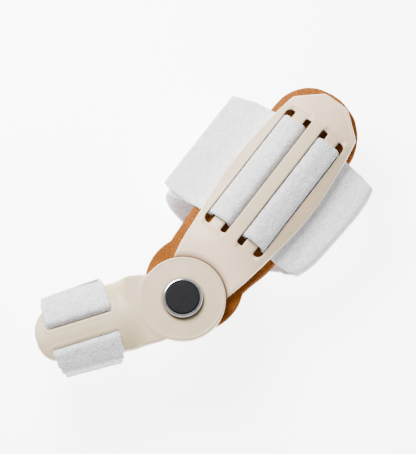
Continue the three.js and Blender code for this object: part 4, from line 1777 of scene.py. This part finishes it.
@dataclass
class FootStrap:
    """The wide strap: over both bars, under the ribs and round below in a loop."""

    sizes: Sizes
    plate: FootPlate
    pad: FootPad
    centre: float = 65.5
    width: float = 55.0
    end_reach: float = 17.5
    fold_reach: float = 13.3
    puff: float = 0.9
    cut_end: tuple[SideRow, ...] = (
        SideRow(1.0, 0.929, -0.483, 0.428, 0),
        SideRow(0.72, 0.935, -0.505, 0.46, 20),
        SideRow(0.3, 0.955, -0.5, 0.497, 14),
    )
    fold: tuple[SideRow, ...] = (
        SideRow(0.45, 0.947, -0.49, 0.497, 14),
        SideRow(0.775, 0.926, -0.465, 0.475, 1.7, 0.25, 0.2),
        SideRow(0.775, 0.81, -0.465, 0.46, 1.7, 0.25, 0.2),
        SideRow(0.36, 0.765, -0.5, 0.47, 5, 0.1),
        SideRow(-0.14, 0.58, -0.53, 0.46, 7),
        SideRow(-0.4, 0.27, -0.55, 0.45, 9),
    )
    rise: tuple[SideRow, ...] = (
        SideRow(0.45, 0.155, -0.557, 0.443, 8),
        SideRow(0.68, 0.35, -0.557, 0.443, 12),
        SideRow(0.775, 0.67, -0.55, 0.445, 10),
        SideRow(0.76, 0.934, -0.53, 0.45, 2.4, layer=1),
        SideRow(0.3, 0.955, -0.5, 0.46, 14, layer=1),
        SideRow(0.12, 0.983, -0.49, 0.46, 0, layer=1),
    )
    floor_left: SideRow = SideRow(0.2, 0, -0.557, 0.443, 7)
    floor_right: SideRow = SideRow(-0.62, 0, -0.557, 0.443, 6)

    def _corners(self, edge: Edge) -> list[Corner]:
        """The corners of one edge of the strap, from its cut end to its other end."""
        sizes = self.sizes
        arch, crown, wall, gap = sizes.foot_arch, sizes.crown, sizes.strap_wall, sizes.gap
        far = edge is Edge.FAR
        low_in, high_in, low_out, high_out = self.plate.lines
        pad_left = self.pad.half_width + self.pad.shift
        pad_right = self.pad.half_width - self.pad.shift
        depth = sizes.plate_wall + gap + wall / 2
        edge_left, edge_right = pad_left + gap, pad_right + gap
        straight = self.centre + (0.5 if far else -0.5) * self.width
        slot_out, slot_in = (low_out + high_out) / 2, (low_in + high_in) / 2

        def at(row: SideRow) -> float:
            """The place of a row's corner along the splint."""
            return self.centre + (row.far if far else row.near) * self.width

        def under(y: float, bend: float) -> Corner:
            """A corner under the plate."""
            return Corner(straight, y, float(arch_height(y, depth, arch, crown)), bend)

        def over(sign: int) -> list[Corner]:
            """The corners over one bar, from the strap's cut end on."""
            middle = (high_in + low_out) / 2
            rows = [
                (slot_out + 0.55, self.puff * 0.6, 2.1, 0.5),
                (middle, self.puff, self.plate.bar * 1.4, 0.95),
                (slot_in - 0.2, self.puff * 0.5, 2.1, 0.45),
            ]
            face = self.plate.recess - gap - wall / 2
            # Painted shade over the bars, deeper over the right one.
            dull = 0.7 if sign > 0 else 1.0
            made = []
            for y, lift, bend, puff in rows if sign > 0 else rows[::-1]:
                z = float(arch_height(y, face, arch, crown)) + lift
                made.append(Corner(straight, sign * y, z, bend, 0.0, puff, dull))
            return made

        left_height = float(arch_height(edge_left, depth, arch, crown))
        right_height = float(arch_height(edge_right, depth, arch, crown))

        def on_left(row: SideRow) -> Corner:
            """A corner beside the pad on the left."""
            z = row.up * left_height - row.layer * (wall + gap)
            return Corner(at(row), pad_left + row.out * self.end_reach, z, row.bend)

        def on_right(row: SideRow) -> Corner:
            """A corner beside the pad on the right."""
            out = row.out + (row.spread if far else 0)
            y = -pad_right - out * self.fold_reach
            bow = -row.bow * self.fold_reach
            return Corner(at(row), y, row.up * right_height, row.bend, bow)

        turn = wall / 2 + gap / 3
        rib = (high_out + edge_right) / 2
        floor = wall / 2
        right_floor, left_floor = on_right(self.floor_right), on_left(self.floor_left)
        return [
            *[on_left(row) for row in self.cut_end],
            under(edge_left, arch / 3),
            under(rib, arch / 2),
            under(slot_out, turn),
            *over(1),
            under(slot_in, turn),
            under(0, arch / 3),
            under(-slot_in, turn),
            *over(-1),
            under(-slot_out, turn),
            under(-rib, arch / 2),
            under(-edge_right, arch / 3),
            *[on_right(row) for row in self.fold],
            Corner(right_floor.x, right_floor.y, floor, right_floor.bend),
            Corner(left_floor.x, left_floor.y, floor, left_floor.bend),
            *[on_left(row) for row in self.rise],
        ]

    def build(self, finish: bpy.types.Material, place: Place) -> bpy.types.Object:
        """Makes the strap."""
        band = Strap("foot_strap_cloth", self.width, self.sizes.strap_wall, place, 21)
        return band.build(self._corners(Edge.NEAR), self._corners(Edge.FAR), finish)


@dataclass
class ToeStrap:
    """The narrow strap: over the toe plate's sides, under its middle bar and in a loop below.

    Each of side_rows has a corner's reach, its height, its bend and how far its edge moves in.
    """

    sizes: Sizes
    plate: ToePlate
    centre: float = 44.25
    width: float = 28.5
    left_reach: float = 15.6
    right_reach: float = 20.9
    taper: float = 0.92
    shoulder: float = 0.98
    lap: float = 0.3
    # Painted shade over the whole toe strap.
    dull: float = 0.8
    side_rows: tuple[tuple[float, float, float, float], ...] = (
        (0.45, 0.0, 6, 0.055),
        (0.74, 0.3, 14, 0.06),
        (0.9, 0.58, 16, 0.07),
        (1.0, 0.79, 8, 0.075),
    )

    def _corners(self, edge: Edge) -> list[Corner]:
        """The corners of one edge of the strap, from its lower end to its upper end."""
        sizes = self.sizes
        far = edge is Edge.FAR
        taper = self.taper if far else 1.0
        wall, gap = sizes.strap_wall, sizes.gap
        floor, layer = wall / 2, wall + gap
        crown, arch = sizes.toe_disc_top, sizes.toe_arch

        def corner(
            y: float,
            z: float,
            bend: float,
            inset: float = 0.0,
            puff: float = 0.0,
        ) -> Corner:
            """A corner of this edge, moved in by a share of the strap's width."""
            x = self.centre + (0.5 - inset if far else inset - 0.5) * self.width
            return Corner(x, y + self.plate.shift, z, bend, 0.0, puff, self.dull)

        over = -(gap + wall / 2)

        def on_arch(y: float, bend: float, puff: float, inset: float = 0.0) -> Corner:
            """A corner on the plate's outer face."""
            return corner(y, float(arch_height(y, over, arch, crown)), bend, inset, puff)

        def side(sign: int, reach: float, base: float) -> list[Corner]:
            """The corners beside the plate, from the bottom up."""
            return [
                corner(sign * out * reach * taper, max(up * crown, base), bend, inset)
                for out, up, bend, inset in self.side_rows
            ]

        slot = self.plate.bar / 2 + sizes.slot_width / 2
        under = float(arch_height(slot, sizes.plate_wall + gap + wall / 2, arch, crown))
        above = float(arch_height(slot, over, arch, crown)) + gap

        def half(sign: int, reach: float) -> list[Corner]:
            """The corners from the plate's edge to the slot and down through it."""
            plate_edge = reach * self.shoulder * taper
            span = plate_edge - slot
            return [
                on_arch(sign * plate_edge, wall * 1.3, 0.05, 0.03),
                on_arch(sign * (slot + span * 0.7), arch / 2, 0.15, 0.0),
                on_arch(sign * (slot + span * 0.35), arch / 2, 0.15),
                corner(sign * slot, above, wall * 0.8),
                corner(sign * slot, under, wall / 2 + gap / 3),
            ]

        inset = self.side_rows[0][3]
        return [
            corner(-self.lap * self.right_reach * taper, floor, 0, inset),
            *side(1, self.left_reach, floor),
            *half(1, self.left_reach),
            *half(-1, self.right_reach)[::-1],
            *side(-1, self.right_reach, floor + layer)[::-1],
            corner(self.lap * self.left_reach * taper, floor + layer, 0, inset),
        ]

    def build(self, finish: bpy.types.Material, place: Place) -> bpy.types.Object:
        """Makes the strap."""
        wall = self.sizes.strap_wall
        band = Strap("toe_strap_cloth", self.width, wall, place, 31, columns=44)
        return band.build(self._corners(Edge.NEAR), self._corners(Edge.FAR), finish)


@dataclass
class Knob:
    """The plated ring and the dark cap on the hinge."""

    sizes: Sizes
    place: Place
    radius: float = 8.6
    bevel: float = 1.1
    height: float = 2.3
    floor: float = 0.7
    cap_radius: float = 7.0
    cap_proud: float = 0.2
    sides: int = 144
    shoulder: float = 0.55
    dome: float = 0.06

    def bezel(self, finish: bpy.types.Material) -> bpy.types.Object:
        """Makes the plated ring."""
        low = self.sizes.knob_bottom
        top = low + self.height - self.cap_proud
        hole = self.sizes.pin_radius + self.sizes.gap
        inner = self.cap_radius + self.sizes.gap
        crown = self.radius - self.bevel
        rise = top - low - self.shoulder
        slope = [
            (
                crown + self.bevel * math.cos(a) ** 0.8,
                low + self.shoulder + rise * math.sin(a) ** 0.8,
            )
            for a in np.radians(np.linspace(0, 86, 14))
        ]
        profile = [
            (hole, low),
            (self.radius - 0.12, low),
            (self.radius, low + 0.12),
            *slope,
            (crown, top),
            (inner + 0.06, top),
            (inner, top - 0.06),
            (inner, low + self.floor),
            (hole, low + self.floor),
        ]
        shell = lathe_shell(profile, self.sides, True)
        radius, height = np.hypot(shell.points[:, 0], shell.points[:, 1]), shell.points[:, 2]
        # Painted shadow on the ring's outer foot and on its inner edge.
        outside = (radius > self.radius - 0.5) * (1 - smooth(height, low + 0.3, low + 0.9))
        shell.tones["foot"] = np.maximum(outside, radius < inner + 0.03) * 0.9
        made = shell.build("knob_bezel_ring", self.place, METAL_SHARP)
        put_on(made, finish)
        return made

    def cap(self, finish: bpy.types.Material) -> bpy.types.Object:
        """Makes the dark cap, very slightly domed."""
        low = self.sizes.knob_bottom + self.floor + self.sizes.gap
        top = self.sizes.knob_bottom + self.height
        edge = 0.35
        corner = arc((self.cap_radius - edge, top - edge), edge, 0, 84, 6)
        dome = [
            (r, top + self.dome * (1 - (r / self.cap_radius) ** 2))
            for r in (6.2, 5.2, 4, 2.6, 1.2)
        ]
        profile = [
            (0, low),
            (self.cap_radius - 0.15, low),
            (self.cap_radius, low + 0.15),
            *[tuple(p) for p in corner],
            *dome,
            (0, top + self.dome),
        ]
        shell = lathe_shell(profile, self.sides, False)
        made = shell.build("knob_cap_disc", self.place, METAL_SHARP)
        put_on(made, finish)
        return made


@dataclass
class Studio:
    """The pale floor, the soft light and the camera at the photograph's angle."""

    hinge: Vector
    azimuth: float = -53.0
    elevation: float = 75.0
    distance: float = 0.8
    lens: float = 147.5
    sensor: float = 36.0
    aim: tuple[float, float, float] = (0.0324, 0.01105, 0.038)
    key_offset: tuple[float, float, float] = (-0.11, 0.21, 0.18)
    key_size: float = 0.18
    key_power: float = 4.0
    surround: Colour = (0.97, 0.98, 1.0, 1.0)
    surround_power: float = 0.75
    floor_reach: float = 3.0

    def _axes(self) -> tuple[Vector, Vector, Vector]:
        """The directions to the right and up in the picture, and back towards the camera."""
        a, e = math.radians(self.azimuth), math.radians(self.elevation)
        back = Vector((math.sin(a) * math.cos(e), -math.cos(a) * math.cos(e), math.sin(e)))
        right = Vector((math.cos(a), math.sin(a), 0.0))
        return right, back.cross(right), back

    @property
    def target(self) -> Vector:
        """The point that the camera looks at."""
        return Vector((self.hinge.x + self.aim[0], self.hinge.y + self.aim[1], self.aim[2]))

    def camera(self) -> None:
        """Makes the camera."""
        data = bpy.data.cameras.new("studio_camera")
        data.lens = self.lens
        data.sensor_width = self.sensor
        data.clip_start, data.clip_end = 0.01, 20.0
        made = linked("studio_camera", data)
        _, _, back = self._axes()
        made.location = self.target + back * self.distance
        made.rotation_mode = "QUATERNION"
        made.rotation_quaternion = (-back).to_track_quat("-Z", "Y")
        bpy.context.scene.camera = made

    def lights(self) -> None:
        """Makes the soft round light and the pale surroundings."""
        data = bpy.data.lights.new("key_light", "AREA")
        data.shape = "DISK"
        data.size = self.key_size
        data.energy = self.key_power
        made = linked("key_light", data)
        made.visible_camera = False
        ways = zip(self._axes(), self.key_offset)
        direction = sum((way * offset for way, offset in ways), Vector((0.0, 0.0, 0.0)))
        made.location = self.target + direction
        made.rotation_mode = "QUATERNION"
        made.rotation_quaternion = (-direction).to_track_quat("-Z", "Y")
        world = bpy.data.worlds.new("studio_world")
        world.use_nodes = True
        background = world.node_tree.nodes["Background"]
        background.inputs["Color"].default_value = self.surround
        background.inputs["Strength"].default_value = self.surround_power
        bpy.context.scene.world = world

    def floor(self) -> bpy.types.Object:
        """Makes the floor."""
        reach = self.floor_reach
        mesh = bpy.data.meshes.new("floor")
        corners = [(-reach, -reach, 0), (reach, -reach, 0), (reach, reach, 0), (-reach, reach, 0)]
        mesh.from_pydata(corners, [], [(0, 1, 2, 3)])
        made = linked("floor", mesh)
        put_on(made, PaleFloor().material())
        return made


def main() -> None:
    """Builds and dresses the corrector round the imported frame."""
    logging.basicConfig(level=logging.INFO, format="%(name)s: %(message)s")
    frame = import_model()
    hinge = Vector(frame["joints"][0]["pos_m"])
    foot = Place(hinge.x, hinge.y)
    toe = Place(hinge.x, hinge.y, math.radians(TOE_TURN))
    sizes = Sizes()

    studio = Studio(hinge)
    studio.floor()
    studio.lights()
    studio.camera()

    plastic = MouldedPlastic().material()
    cloth = BrushedLoop("strap_cloth").material()
    fibre = NapFibre().material()

    foot_plate = FootPlate(sizes, foot)
    foot_pad = FootPad(sizes, foot)
    toe_plate = ToePlate(sizes, toe)
    knob = Knob(sizes, foot)

    settle(foot_plate.build(plastic), Body.FOOT, "foot_plate")
    pad = foot_pad.build(GrainedFoam().material(), foot_plate)
    settle(pad, Body.FOOT, "foot_pad")
    settle(toe_plate.build(plastic), Body.TOE, "toe_plate")

    wide = FootStrap(sizes, foot_plate, foot_pad).build(cloth, foot)
    narrow = ToeStrap(sizes, toe_plate).build(cloth, toe)
    wide_nap = Nap(seed=7, density=1.35e6).build("foot_strap_nap", wide, fibre)
    narrow_nap = Nap(seed=8, density=2.2e6).build("toe_strap_nap", narrow, fibre)
    settle(wide_nap, Body.FOOT)
    settle(narrow_nap, Body.TOE)
    settle(wide, Body.FOOT, "foot_strap")
    settle(narrow, Body.TOE, "toe_strap")

    settle(knob.bezel(PlatedMetal("bezel_chrome").material()), Body.FOOT, "knob_bezel")
    settle(knob.cap(TexturedCap().material()), Body.FOOT, "knob_cap")
    put_on(frame["nodes"]["pivot_pin"], PlatedMetal("pin_steel", gloss=0.3).material())


if __name__ == "__main__":
    main()
